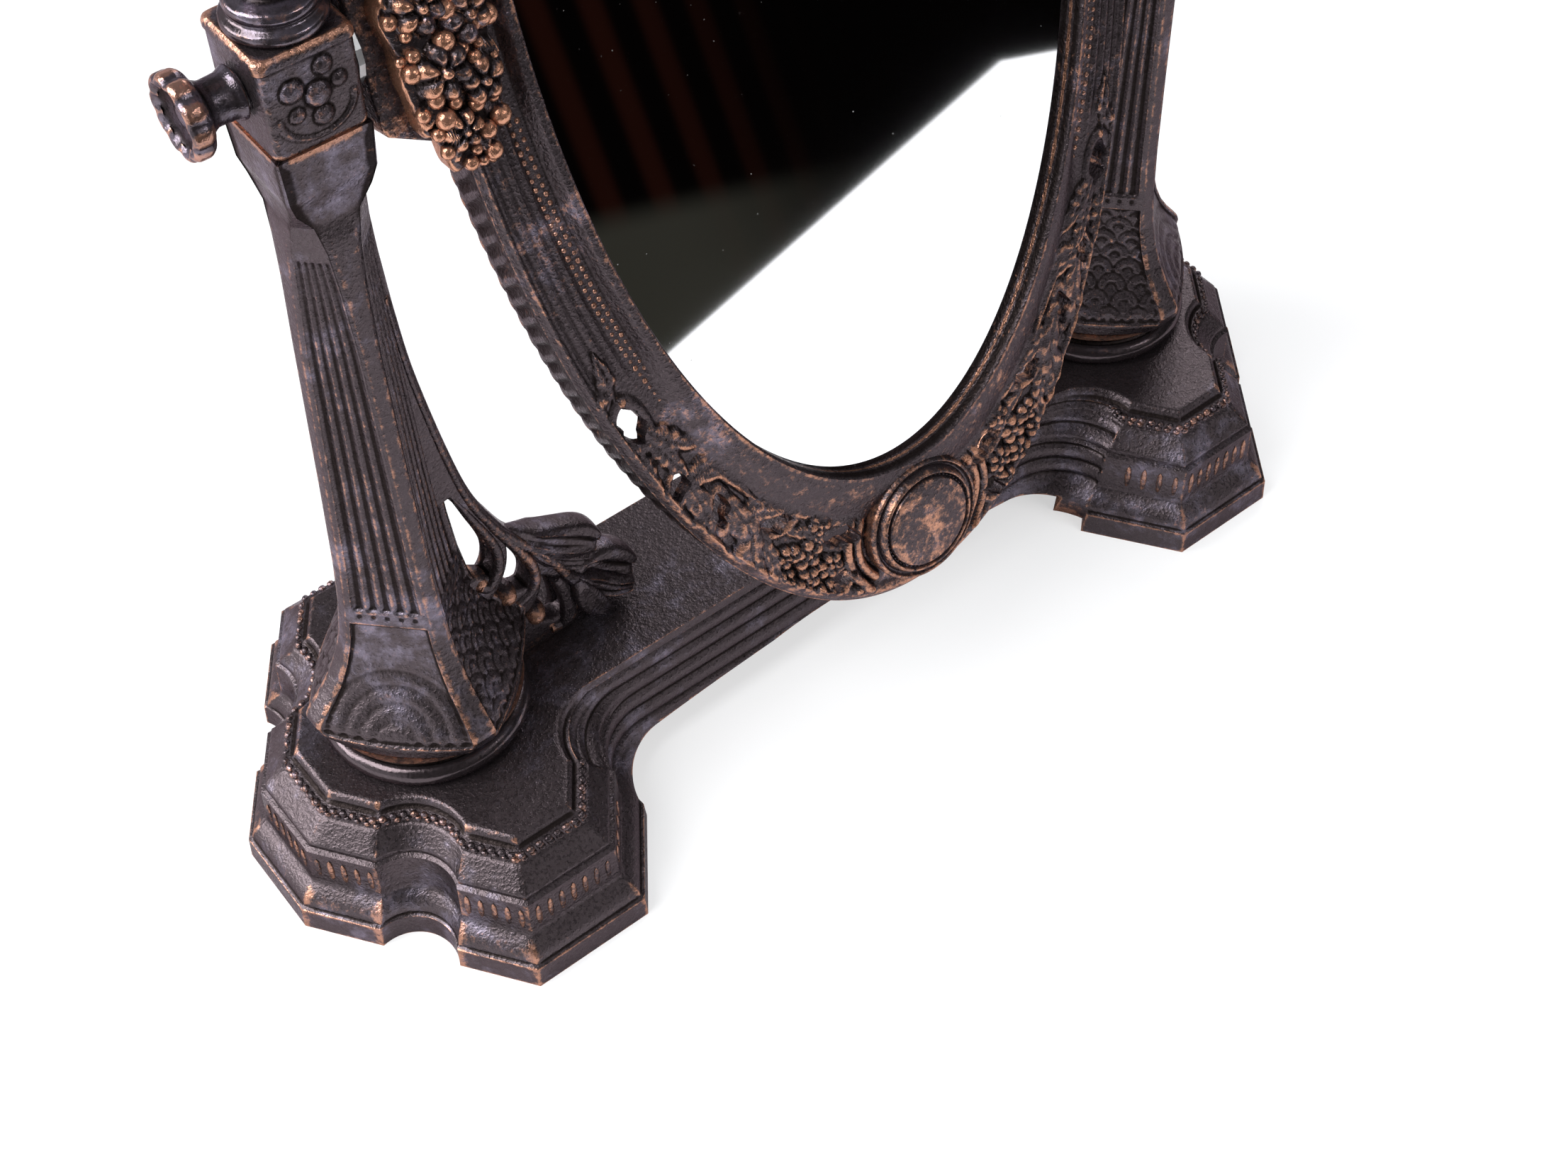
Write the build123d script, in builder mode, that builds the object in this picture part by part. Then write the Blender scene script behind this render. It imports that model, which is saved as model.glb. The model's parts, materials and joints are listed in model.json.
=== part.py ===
from build123d import *

import os
from math import atan2, cos, hypot, pi, radians, sin, sqrt, tan

# Free-standing table mirror: an oval glass in a pierced cast frame that swings between two
# fluted columns on a stepped base. X runs from the left column to the right one, the glass
# faces -Y, and the origin is in the middle of the resting face.

os.makedirs("parts", exist_ok=True)

# Driving dimensions, in millimetres and degrees
pod_spacing = 140.0
column_outset = 1.6
base_height = 24.0
pivot_height = 148.5
rest_tilt = 15.6
seat_gap = 0.05
running_gap = 0.08

# Plan of a pod: a long octagon with a round bite in each outer diagonal.
# A pair gives the size at the floor and at the top.
pod_half_width = 33.5
pod_half_depth = 40.6
pod_front_half = 10.4
pod_side_half = 8.4
bite_half_chord = (6.45, 7.1)
bite_depth = (4.2, 2.9)
bar_half_width = (16.8, 13.0)
flare_start = (33.0, 19.5)
flare_radius = (12.0, 10.3)
top_inset = 11.4

# Moulding of the pod: height above the floor, inset from the plinth
pod_moulding = [
    (0.0, 0.0),
    (4.6, 0.4),
    (5.4, 1.4),
    (7.6, 3.4),
    (16.3, 4.4),
    (20.7, 8.7),
    (22.3, 9.4),
    (base_height, top_inset),
]

# Underside of the base
base_wall = 3.0
base_roof = 4.5
arch_end_height = 5.2
arch_middle_height = 8.8
arch_half_length = 50.0
screw_boss_radius = 7.0
screw_boss_height = 4.0
screw_boss_sides = 12

# Grooves between the reeds on the sides of the bar
reed_count = 4
reed_edge = 1.4
reed_groove_depth = 0.7

# Foot collar under each column
collar_height = 7.0
collar_bead_height = 4.0
collar_bead_edge = 1.2
collar_radius = 16.6
collar_waist_radius = 14.9
collar_top_band = 0.9
collar_clearance = 0.4
collar_sides = 24

# Column. The section is a square on its corner whose four corners are cut to flat strips.
# Foot: height above the collar, half width over the strips, half strip, bulge of the sides
foot_profile = [
    (0.0, 16.0, 1.9, 2.9),
    (2.4, 17.6, 2.0, 3.3),
    (4.6, 17.9, 2.0, 2.6),
    (6.4, 16.6, 1.9, 1.8),
    (8.8, 14.7, 1.8, 1.3),
    (11.5, 12.8, 1.7, 0.65),
    (14.8, 11.3, 1.6, 0.3),
    (19.0, 10.1, 1.5, 0.0),
]
# Shaft: share of the way from the foot to the capital, half width, half strip
shaft_profile = [(0.1, 9.2, 1.4), (0.22, 8.6, 1.4), (0.44, 7.8, 1.4), (0.84, 6.5, 1.45)]
# Capital: depth below the pivot block, half width, half strip
capital_profile = [
    (23.5, 5.95, 1.8),
    (16.5, 5.5, 2.3),
    (12.0, 5.2, 3.2),
    (9.0, 5.5, 5.2),
    (6.5, 6.05, 5.8),
    (0.0, 6.2, 6.0),
]
block_half_width = 6.6
block_half_height = 7.0
block_chamfer = 0.6

# Flutes on the four sides of the shaft, which end square
flute_count = 5
flute_share = 0.42
flute_levels = (0.1, 0.88)

# Scroll bracket beside each column: distances from the column's axis, heights above the base
bracket_thickness = 4.6
arm_tip = (6.5, 86.8)
arm_outer = [(8.1, 69.5), (12.5, 48.5), (20.0, 29.5)]
leaf_root = (29.0, 21.2)
leaf_crest = (38.6, 14.8)
leaf_tip = (42.8, 1.8)
bracket_foot = 37.0
leaf_half_width = 5.6
leaf_thickness = 5.4
volutes = [((13.2, 21.6), 1.7), ((18.1, 16.1), 1.8)]
volute_proud = 0.7
volute_sides = 10

# Column screw and its washer, under the base
column_screw_radius = 2.5
washer_sides = 16
column_screw_reach = 24.0
screw_head_radius = 4.4
screw_head_height = 3.2
hex_size = 4.0
hex_depth = 2.0
washer_radius = 5.6
washer_thickness = 1.0

# Finial and its stud: height above the block, radius
finial_profile = [
    (0.0, 5.9),
    (1.4, 5.9),
    (3.2, 3.2),
    (5.4, 4.4),
    (8.6, 5.7),
    (12.6, 7.0),
    (17.6, 4.4),
    (19.4, 4.8),
    (22.0, 2.6),
]
finial_tip_height = 27.2
finial_tip_radius = 0.8
finial_sides = 16
stud_sides = 10
stud_radius = 1.5
stud_depth = 3.8
stud_rise = 8.0

# Thumbscrew: outward from the block face, radius
shank_radius = 2.5
thread_depth = 9.0
knob_profile = [
    (0.0, 3.4),
    (2.0, 3.0),
    (4.0, 4.9),
    (6.2, 5.3),
    (6.6, 4.6),
]
knob_dish_depth = 5.2
knob_lobes = 8
knob_dish_radius = 4.2
knob_bore_depth = 4.2
knob_rim = knob_profile[-1][0]
pivot_washer_radius = 5.0
pivot_washer_thickness = 0.8

# Mirror frame, in the plane of the oval: depths are measured forward from the pivot line
sight_half_width = 45.0
sight_half_height = 94.0
frame_side_width = 10.5
frame_foot_depth = 25.0
frame_back = -4.2
frame_edge = 3.6
frame_field = 5.0
field_inset = 5.0
rim_front = 7.3
rim_width = 2.4
lug_half_height = (18.0, 11.4)
lug_root = 52.0

# Glass and what holds it in from behind
glass_overlap = 2.5
glass_clearance = 0.3
glass_front = 4.9
glass_thickness = 2.0
card_thickness = 1.0
plate_thickness = 1.0
plate_ledge = 3.7
plate_screw_radius = 1.0
plate_screw_head = 1.6
plate_screw_length = 3.2
plate_screw_count = 4
plate_screw_sides = 8

# Pointed openings pierced through the frame: side distance, drop, length, width, slope in degrees
pierced_openings = [
    (43.0, 64.6, 7.4, 2.2, 74.0),
    (38.6, 77.6, 6.0, 2.2, 60.0),
    (34.0, 86.0, 7.6, 2.8, 58.0),
    (25.6, 94.4, 7.6, 2.8, 38.0),
    (15.6, 100.8, 6.0, 2.6, 50.0),
    (14.8, 110.2, 5.6, 2.4, -60.0),
]

# Medallion in the middle of the frame's foot and head
medallion_gap = 1.4
medallion_sides = 24
medallion_ring_radius = 10.3
medallion_disc_radius = 8.6
medallion_ring_front = 7.6
medallion_disc_front = 8.8
medallion_ring_width = 0.9
medallion_spigot_radius = 3.0

# Flower cluster over each lug
cluster_middle = 54.9
cluster_half_width = 6.6
cluster_half_height = 18.6
cluster_front = 6.4
cluster_crown = 1.0
flower_radius = 3.6
flower_height = 1.9
petal_count = 5
berry_sides = 6
flowers = [(2.6, -6.4), (4.4, -0.6), (-3.0, 3.2), (1.6, 6.4)]
berries = [(2.4, 11.4), (-1.6, 10.4), (0.6, 14.6), (1.4, -11.2), (-2.2, -8.0), (0.8, -14.6)]
berry_radius = 1.5

pod_x = pod_spacing / 2
column_x = pod_x + column_outset
foot_height = base_height + collar_height
block_bottom = pivot_height - block_half_height
block_top = pivot_height + block_half_height
oval_half_width = sight_half_width + frame_side_width
oval_half_height = sight_half_height + frame_foot_depth
medallion_drop = sight_half_height + medallion_gap + medallion_ring_radius
cavity_top = base_height - base_roof
boss_bottom = cavity_top - screw_boss_height
column_plane = Plane((-column_x, 0, 0))
pivot_plane = Plane(origin=(0, 0, pivot_height), x_dir=(0, 1, 0), z_dir=(1, 0, 0))
lug_end = column_x - block_half_width - pivot_washer_thickness - 2 * seat_gap
knob_seat = column_x + block_half_width + seat_gap


def between(pair, share):
    """Value a share of the way from the first of a pair to the second."""
    return pair[0] + (pair[1] - pair[0]) * share


def export_piece(piece, name):
    """Writes one node."""
    piece.label = name
    export_step(piece, f"parts/{name}.step")


def export_pair(piece, name):
    """Writes a left piece and its mirror image on the right."""
    export_piece(piece, f"{name}_left")
    with BuildPart() as right:
        mirror(piece, about=Plane.YZ)
    export_piece(right.part, f"{name}_right")


def flat_sided(plane, sections, creased=False):
    """Solid with flat sides between sections, each a height above a plane and its corners.

    A side that twists from one section to the next is creased from corner to corner.
    """
    rings = []
    for height, corners in sections:
        rings.append([plane.from_local_coords((x, y, height)) for x, y in corners])
    outlines = [rings[0], rings[-1]]
    for lower, upper in zip(rings, rings[1:]):
        for number in range(len(lower)):
            side = (lower[number - 1], lower[number], upper[number], upper[number - 1])
            outlines += [side[:3], side[2:] + side[:1]] if creased else [side]
    return Solid(Shell([Face(Wire.make_polygon(outline)) for outline in outlines]))


def turned(plane, profile, sides):
    """Turned piece whose round is made of flats, from its heights above a plane and its radii."""
    sections = []
    for height, radius in profile:
        turns = [2 * pi * number / sides for number in range(sides)]
        sections.append((height, [(radius * cos(turn), radius * sin(turn)) for turn in turns]))
    return flat_sided(plane, sections)


# The diagonal of the pod, and how fast its corners close in as the outline shrinks
diagonal_angle = atan2(pod_half_depth - pod_side_half, pod_half_width - pod_front_half)
front_shrink = tan(diagonal_angle / 2)
side_shrink = tan((pi / 2 - diagonal_angle) / 2)


def pod_corners(inset):
    """Front corner, then side corner, of the outer front diagonal of the left pod."""
    front = (-pod_x - pod_front_half + inset * front_shrink, -pod_half_depth + inset)
    side = (-pod_x - pod_half_width + inset, -pod_side_half + inset * side_shrink)
    return front, side


def across_pod(point):
    """The same point on the other side of the left pod."""
    return (-2 * pod_x - point[0], point[1])


def flare_end(corner, centre, reach):
    """Where the concave flare of the bar runs into the inner diagonal of the pod."""
    step = (cos(diagonal_angle), sin(diagonal_angle))
    offset = (corner[0] - centre[0], corner[1] - centre[1])
    along = offset[0] * step[0] + offset[1] * step[1]
    apart = offset[0] ** 2 + offset[1] ** 2 - reach**2
    travel = -along - sqrt(max(along**2 - apart, 0))
    return (corner[0] + travel * step[0], corner[1] + travel * step[1])


def base_quarter(height, inset):
    """Section of the front left quarter of the base."""
    share = inset / top_inset
    front, side = pod_corners(inset)
    run = (side[0] - front[0], side[1] - front[1])
    length = hypot(*run)
    step = (run[0] / length, run[1] / length)
    middle = (front[0] + run[0] / 2, front[1] + run[1] / 2)
    half = between(bite_half_chord, share)
    depth = between(bite_depth, share)
    bite_start = (middle[0] - half * step[0], middle[1] - half * step[1])
    bite_end = (middle[0] + half * step[0], middle[1] + half * step[1])
    bite_deep = (middle[0] + depth * step[1], middle[1] - depth * step[0])
    bar = between(bar_half_width, height / base_height)
    reach = between(flare_radius, share)
    centre = (-pod_x + between(flare_start, share), -bar - reach)
    end = flare_end(across_pod(front), centre, reach)
    turn = (pi / 2 + atan2(end[1] - centre[1], end[0] - centre[0]) % (2 * pi)) / 2
    flare_middle = (centre[0] + reach * cos(turn), centre[1] + reach * sin(turn))
    with BuildSketch(Plane.XY.offset(height)) as section:
        with BuildLine():
            Polyline((side[0], 0), (0, 0), (0, -bar), (centre[0], -bar))
            ThreePointArc((centre[0], -bar), flare_middle, end)
            Polyline(end, across_pod(front), front, bite_start)
            ThreePointArc(bite_start, bite_deep, bite_end)
            Polyline(bite_end, side, (side[0], 0))
        make_face()
    return section.sketch


def moulding_inset(height):
    """Inset of the pod's moulding at a height."""
    for low, high in zip(pod_moulding, pod_moulding[1:]):
        if low[0] <= height <= high[0]:
            return between((low[1], high[1]), (height - low[0]) / (high[0] - low[0]))


def hollow_section(height, inset):
    """Section of the hollow under the left pod, which passes behind the bites."""
    front, side = pod_corners(inset + base_wall)
    pull = between(bite_depth, inset / top_inset)
    front = (front[0] + pull, front[1])
    side = (side[0], side[1] + pull)
    half = [side, front, across_pod(front), across_pod(side)]
    other_half = [(x, -y) for x, y in reversed(half)]
    with BuildSketch(Plane.XY.offset(height)) as section:
        with BuildLine():
            Polyline(*half, *other_half, close=True)
        make_face()
    return section.sketch


# Base: two stepped pods joined by a reeded bar, cast in one and hollow underneath
with BuildPart() as pod_hollow:
    add(hollow_section(-1.0, pod_moulding[2][1]))
    add(hollow_section(pod_moulding[1][0], pod_moulding[2][1]))
    add(hollow_section(cavity_top, moulding_inset(cavity_top)))
    loft(ruled=True)
    mirror(about=Plane.YZ)

with BuildPart() as base:
    for height, inset in pod_moulding:
        add(base_quarter(height, inset))
    loft(ruled=True)
    mirror(about=Plane.XZ)
    mirror(about=Plane.YZ)
    add(pod_hollow.part, mode=Mode.SUBTRACT)
    with BuildSketch():
        Rectangle(pod_spacing, 2 * (bar_half_width[1] - base_wall))
    extrude(amount=cavity_top, mode=Mode.SUBTRACT)
    with BuildSketch(Plane.XZ):
        with BuildLine():
            ThreePointArc(
                (-arch_half_length, arch_end_height),
                (0, arch_middle_height),
                (arch_half_length, arch_end_height),
            )
            Line((arch_half_length, arch_end_height), (arch_half_length, -1))
            Line((arch_half_length, -1), (-arch_half_length, -1))
            Line((-arch_half_length, -1), (-arch_half_length, arch_end_height))
        make_face()
    extrude(amount=pod_half_depth, both=True, mode=Mode.SUBTRACT)
    reed_top = base_height - reed_edge
    reed_pitch = (reed_top - arch_middle_height - reed_edge / 2) / reed_count
    for number in range(reed_count + 1):
        groove_height = reed_top - number * reed_pitch
        groove_y = between(bar_half_width, groove_height / base_height)
        with BuildSketch(Plane.YZ):
            with Locations((groove_y, groove_height), (-groove_y, groove_height)):
                RegularPolygon(reed_groove_depth, 4)
        extrude(amount=pod_x - flare_start[0], both=True, mode=Mode.SUBTRACT)
    with BuildSketch(Plane.XY.offset(boss_bottom)):
        with Locations((-column_x, 0), (column_x, 0)):
            RegularPolygon(screw_boss_radius, screw_boss_sides)
    extrude(amount=screw_boss_height + base_roof / 2)
    with Locations((-column_x, 0, base_height), (column_x, 0, base_height)):
        Hole(column_screw_radius + seat_gap)
export_piece(base.part, "base")

# Foot collar: a bead, a hollow neck and a flat top, loose round the column screw
collar_profile = [
    (0.0, collar_radius - collar_bead_edge),
    (collar_bead_edge, collar_radius),
    (collar_bead_height - collar_bead_edge, collar_radius),
    (collar_bead_height, collar_waist_radius),
    (collar_height - collar_top_band, foot_profile[0][1]),
    (collar_height, foot_profile[0][1]),
]
with BuildPart() as foot_collar:
    add(turned(column_plane.offset(base_height), collar_profile, collar_sides))
    with BuildSketch(column_plane.offset(base_height)):
        Circle(column_screw_radius + collar_clearance)
    extrude(amount=collar_height, mode=Mode.SUBTRACT)
export_pair(foot_collar.part, "foot_collar")


def column_corners(half, strip):
    """Corners of a square on its corner whose corners are cut to flat strips."""
    corners = [(half, -strip), (half, strip), (strip, half), (-strip, half)]
    return corners + [(-x, -y) for x, y in corners]


def foot_corners(half, strip, bulge):
    """Corners of the column's foot, each side bulged in three flats."""
    corners = column_corners(half, strip)
    outline = []
    for number, start in enumerate(corners):
        end = corners[(number + 1) % len(corners)]
        outline.append(start)
        if number % 2:
            middle = (start[0] + end[0], start[1] + end[1])
            push = bulge / hypot(*middle)
            for share in (0.35, 0.65):
                across = between((start[0], end[0]), share) + push * middle[0]
                along = between((start[1], end[1]), share) + push * middle[1]
                outline.append((across, along))
    return outline


# Levels of the column from the collar up to the pivot block
shaft_bottom = foot_height + foot_profile[-1][0]
shaft_top = block_bottom - capital_profile[0][0]
column_levels = [(shaft_bottom, foot_profile[-1][1], foot_profile[-1][2])]
for share, half, strip in shaft_profile:
    column_levels.append((between((shaft_bottom, shaft_top), share), half, strip))
for drop, half, strip in capital_profile:
    column_levels.append((block_bottom - drop, half, strip))


def column_size(height):
    """Half width and half strip of the column at a height."""
    for low, high in zip(column_levels, column_levels[1:]):
        if low[0] <= height <= high[0]:
            share = (height - low[0]) / (high[0] - low[0])
            return between((low[1], high[1]), share), between((low[2], high[2]), share)


# Plain column, before its flutes
foot_sections = [(foot_height + level[0], foot_corners(*level[1:])) for level in foot_profile]
shaft_sections = [(level[0], column_corners(*level[1:])) for level in column_levels]
with BuildPart() as plain_shaft:
    add(flat_sided(column_plane, shaft_sections))
    add(flat_sided(column_plane, foot_sections, creased=True))

# One side's flutes, which narrow with the shaft
with BuildPart() as flute_set:
    for number in range(flute_count):
        flute_sections = []
        for share in flute_levels:
            height = between((shaft_bottom, shaft_top), share)
            half, strip = column_size(height)
            y = between((strip, half), (number + 0.5) / flute_count)
            x = half + strip - y
            reach = flute_share * (half - strip) * sqrt(2) / flute_count
            flute_sections.append((height, [(x + reach, y), (x, y + reach), (x - reach, y), (x, y - reach)]))
        add(flat_sided(column_plane, flute_sections))

# Column: foot, fluted shaft, capital and the block that holds the thumbscrew
with BuildPart() as column:
    add(plain_shaft.part)
    for quarter in range(4):
        add(flute_set.part.rotate(Axis((-column_x, 0, 0), (0, 0, 1)), 90 * quarter), mode=Mode.SUBTRACT)
    with BuildSketch(column_plane.offset(block_bottom)) as block_section:
        Rectangle(2 * block_half_width, 2 * block_half_width)
        chamfer(block_section.vertices(), block_chamfer)
    extrude(amount=2 * block_half_height)
    chamfer(column.faces().sort_by(Axis.Z)[-1].edges(), block_chamfer)
    with BuildSketch(pivot_plane.offset(-column_x)):
        Circle(shank_radius + running_gap)
    extrude(amount=2 * block_half_width, both=True, mode=Mode.SUBTRACT)
    screw_room = column_screw_reach - collar_height + 0.5
    with BuildSketch(column_plane.offset(foot_height)):
        Circle(column_screw_radius + seat_gap)
    extrude(amount=screw_room, mode=Mode.SUBTRACT)
    with BuildSketch(column_plane.offset(block_top)):
        RegularPolygon(stud_radius + seat_gap, stud_sides)
    extrude(amount=-stud_depth - seat_gap, mode=Mode.SUBTRACT)
export_pair(column.part, "column")

bracket_plane = Plane(origin=(-column_x, 0, base_height), x_dir=(1, 0, 0), z_dir=(0, -1, 0))

# Leaf of the bracket: a curled blade with two lobes on each side, seen from above
with BuildPart() as bracket_leaf:
    with BuildSketch(bracket_plane):
        with BuildLine():
            ThreePointArc(leaf_root, leaf_crest, leaf_tip)
            under_root = (leaf_root[0], leaf_root[1] - leaf_thickness)
            ThreePointArc(
                leaf_tip,
                (leaf_crest[0] - leaf_thickness / 2, leaf_crest[1] - leaf_thickness),
                under_root,
            )
            Line(under_root, leaf_root)
        make_face()
    extrude(amount=leaf_half_width, both=True)
    leaf_start = leaf_root[0]
    leaf_length = leaf_tip[0] - leaf_start
    with BuildSketch(Plane((-column_x, 0, base_height))):
        with BuildLine():
            first_notch = (leaf_start + 0.5 * leaf_length, 0.66 * leaf_half_width)
            second_notch = (leaf_start + 0.8 * leaf_length, 0.52 * leaf_half_width)
            Line((leaf_start, 0), (leaf_start, bracket_thickness / 2))
            ThreePointArc(
                (leaf_start, bracket_thickness / 2),
                (leaf_start + 0.26 * leaf_length, leaf_half_width),
                first_notch,
            )
            ThreePointArc(
                first_notch,
                (leaf_start + 0.68 * leaf_length, 0.92 * leaf_half_width),
                second_notch,
            )
            ThreePointArc(
                second_notch,
                (leaf_start + 0.93 * leaf_length, 0.5 * leaf_half_width),
                (leaf_tip[0], 0),
            )
            mirror(about=Plane.XZ)
        make_face()
    extrude(amount=leaf_root[1], mode=Mode.INTERSECT)

# Scroll bracket: an arm that runs up the column, pierced between its scrolls
with BuildPart() as scroll_bracket:
    with BuildSketch(bracket_plane):
        with BuildLine():
            Spline(arm_tip, *arm_outer, leaf_root)
            ThreePointArc(leaf_root, leaf_crest, leaf_tip)
            ThreePointArc(leaf_tip, (40.2, 3.0), (bracket_foot, 0))
            Polyline((bracket_foot, 0), (4.0, 0), (4.0, arm_tip[1]), arm_tip)
        make_face()
        with BuildLine():
            Spline((9.4, 44.8), (14.9, 34.2), (16.4, 28.1), (14.7, 23.1))
            Polyline((14.7, 23.1), (11.6, 24.1), (8.0, 24.1), (8.0, 44.8), (9.4, 44.8))
        make_face(mode=Mode.SUBTRACT)
        with BuildLine():
            ThreePointArc((15.1, 16.1), (15.8, 20.3), (19.3, 23.3))
            ThreePointArc((19.3, 23.3), (21.0, 18.8), (20.1, 16.3))
            ThreePointArc((20.1, 16.3), (18.1, 18.2), (15.1, 16.1))
        make_face(mode=Mode.SUBTRACT)
        with BuildLine():
            ThreePointArc((20.3, 9.3), (23.2, 11.6), (24.4, 15.1))
            ThreePointArc((24.4, 15.1), (27.0, 11.8), (27.3, 7.4))
            ThreePointArc((27.3, 7.4), (26.9, 5.4), (25.3, 4.1))
            ThreePointArc((25.3, 4.1), (22.2, 6.0), (20.3, 9.3))
        make_face(mode=Mode.SUBTRACT)
    extrude(amount=bracket_thickness / 2, both=True)
    for centre, radius in volutes:
        with BuildSketch(bracket_plane):
            with Locations(centre):
                RegularPolygon(radius, volute_sides)
        extrude(amount=bracket_thickness / 2 + volute_proud, both=True)
    add(bracket_leaf.part)
    add(plain_shaft.part, mode=Mode.SUBTRACT)
    add(foot_collar.part, mode=Mode.SUBTRACT)
export_pair(scroll_bracket.part, "scroll_bracket")

# Column screws: socket heads under the base, one up into each column
with BuildPart() as column_screws:
    washer_bottom = boss_bottom - washer_thickness
    head_bottom = washer_bottom - screw_head_height
    with BuildSketch(column_plane.offset(head_bottom)):
        RegularPolygon(screw_head_radius, washer_sides)
    extrude(amount=screw_head_height)
    with BuildSketch(column_plane.offset(washer_bottom)):
        Circle(column_screw_radius)
    extrude(amount=base_height + column_screw_reach - washer_bottom)
    with BuildSketch(column_plane.offset(head_bottom)):
        RegularPolygon(hex_size / 2, 6, major_radius=False)
    extrude(amount=hex_depth, mode=Mode.SUBTRACT)
    mirror(about=Plane.YZ)
export_piece(column_screws.part, "column_screws")

with BuildPart() as column_washers:
    with BuildSketch(column_plane.offset(washer_bottom)):
        RegularPolygon(washer_radius, washer_sides)
        RegularPolygon(column_screw_radius + collar_clearance, washer_sides, mode=Mode.SUBTRACT)
    extrude(amount=washer_thickness)
    mirror(about=Plane.YZ)
export_piece(column_washers.part, "column_washers")

# Finial: a turned urn on two rings, on a stud in the top of the column
with BuildPart() as finial:
    finial_rows = finial_profile + [(finial_tip_height, finial_tip_radius)]
    add(turned(column_plane.offset(block_top), finial_rows, finial_sides))
    with BuildSketch(column_plane.offset(block_top)):
        RegularPolygon(stud_radius + seat_gap, stud_sides)
    extrude(amount=stud_rise + seat_gap, mode=Mode.SUBTRACT)
export_pair(finial.part, "finial")

with BuildPart() as finial_studs:
    with BuildSketch(column_plane.offset(block_top - stud_depth)):
        RegularPolygon(stud_radius, stud_sides)
    extrude(amount=stud_depth + stud_rise)
    mirror(about=Plane.YZ)
export_piece(finial_studs.part, "finial_studs")

# Thumbscrew: a dished knob with a lobed rim, screwed on the shank that carries the mirror
knob_plane = Plane(origin=(-knob_seat, 0, pivot_height), x_dir=(0, 1, 0), z_dir=(-1, 0, 0))
with BuildPart() as thumb_knob:
    add(turned(knob_plane, knob_profile, 2 * knob_lobes))
    with BuildPart(mode=Mode.PRIVATE) as dish:
        add(turned(knob_plane, [(knob_dish_depth, knob_dish_radius / 2), (knob_rim, knob_dish_radius)], knob_lobes))
    add(dish.part, mode=Mode.SUBTRACT)
    with BuildSketch(knob_plane):
        Circle(shank_radius + seat_gap / 2)
    extrude(amount=knob_bore_depth, mode=Mode.SUBTRACT)
export_pair(thumb_knob.part, "thumb_knob")

with BuildPart() as thumb_shank:
    shank_end = -knob_seat - knob_bore_depth + seat_gap
    with BuildSketch(pivot_plane.offset(shank_end)):
        Circle(shank_radius)
    extrude(amount=-shank_end - lug_end + thread_depth - 0.5)
export_pair(thumb_shank.part, "thumb_shank")

with BuildPart() as pivot_washer:
    with BuildSketch(pivot_plane.offset(-lug_end - seat_gap)):
        RegularPolygon(pivot_washer_radius, washer_sides)
        Circle(shank_radius + running_gap, mode=Mode.SUBTRACT)
    extrude(amount=-pivot_washer_thickness)
export_pair(pivot_washer.part, "pivot_washer")

# The plane of the oval leans back from the pivot line
lean = radians(rest_tilt)
oval_plane = Plane(origin=(0, 0, pivot_height), x_dir=(1, 0, 0), z_dir=(0, -cos(lean), sin(lean)))
across_oval = Plane(origin=(0, 0, pivot_height), z_dir=(0, sin(lean), cos(lean)))


def oval(depth, half_width, half_height):
    """Flat ellipse in the frame, at a depth in front of the pivot line."""
    with BuildSketch(oval_plane.offset(depth)) as section:
        Ellipse(half_width, half_height)
    return section.sketch


def oval_slab(back, front, grow, half_width=sight_half_width, half_height=sight_half_height):
    """Elliptical slab whose edge lies a distance outside the sight size."""
    with BuildPart() as slab:
        with BuildSketch(oval_plane.offset(back)):
            Ellipse(half_width + grow, half_height + grow)
        extrude(amount=front - back)
    return slab.part


def pointed_opening(length, width):
    """Flat outline that comes to a point at each end."""
    with BuildSketch() as opening:
        with BuildLine():
            upper = [(-length / 2, 0), (-length / 5, width / 2), (length / 5, width / 2), (length / 2, 0)]
            Polyline(*upper, (length / 5, -width / 2), (-length / 5, -width / 2), close=True)
        make_face()
    return opening.sketch


rebate_grow = glass_overlap + glass_clearance
plate_grow = rebate_grow + plate_ledge
glass_back = glass_front - glass_thickness
plate_front = glass_back - card_thickness
plate_back = plate_front - plate_thickness
plate_screw_grow = rebate_grow + plate_ledge / 2
seat_front = glass_front + seat_gap

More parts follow.
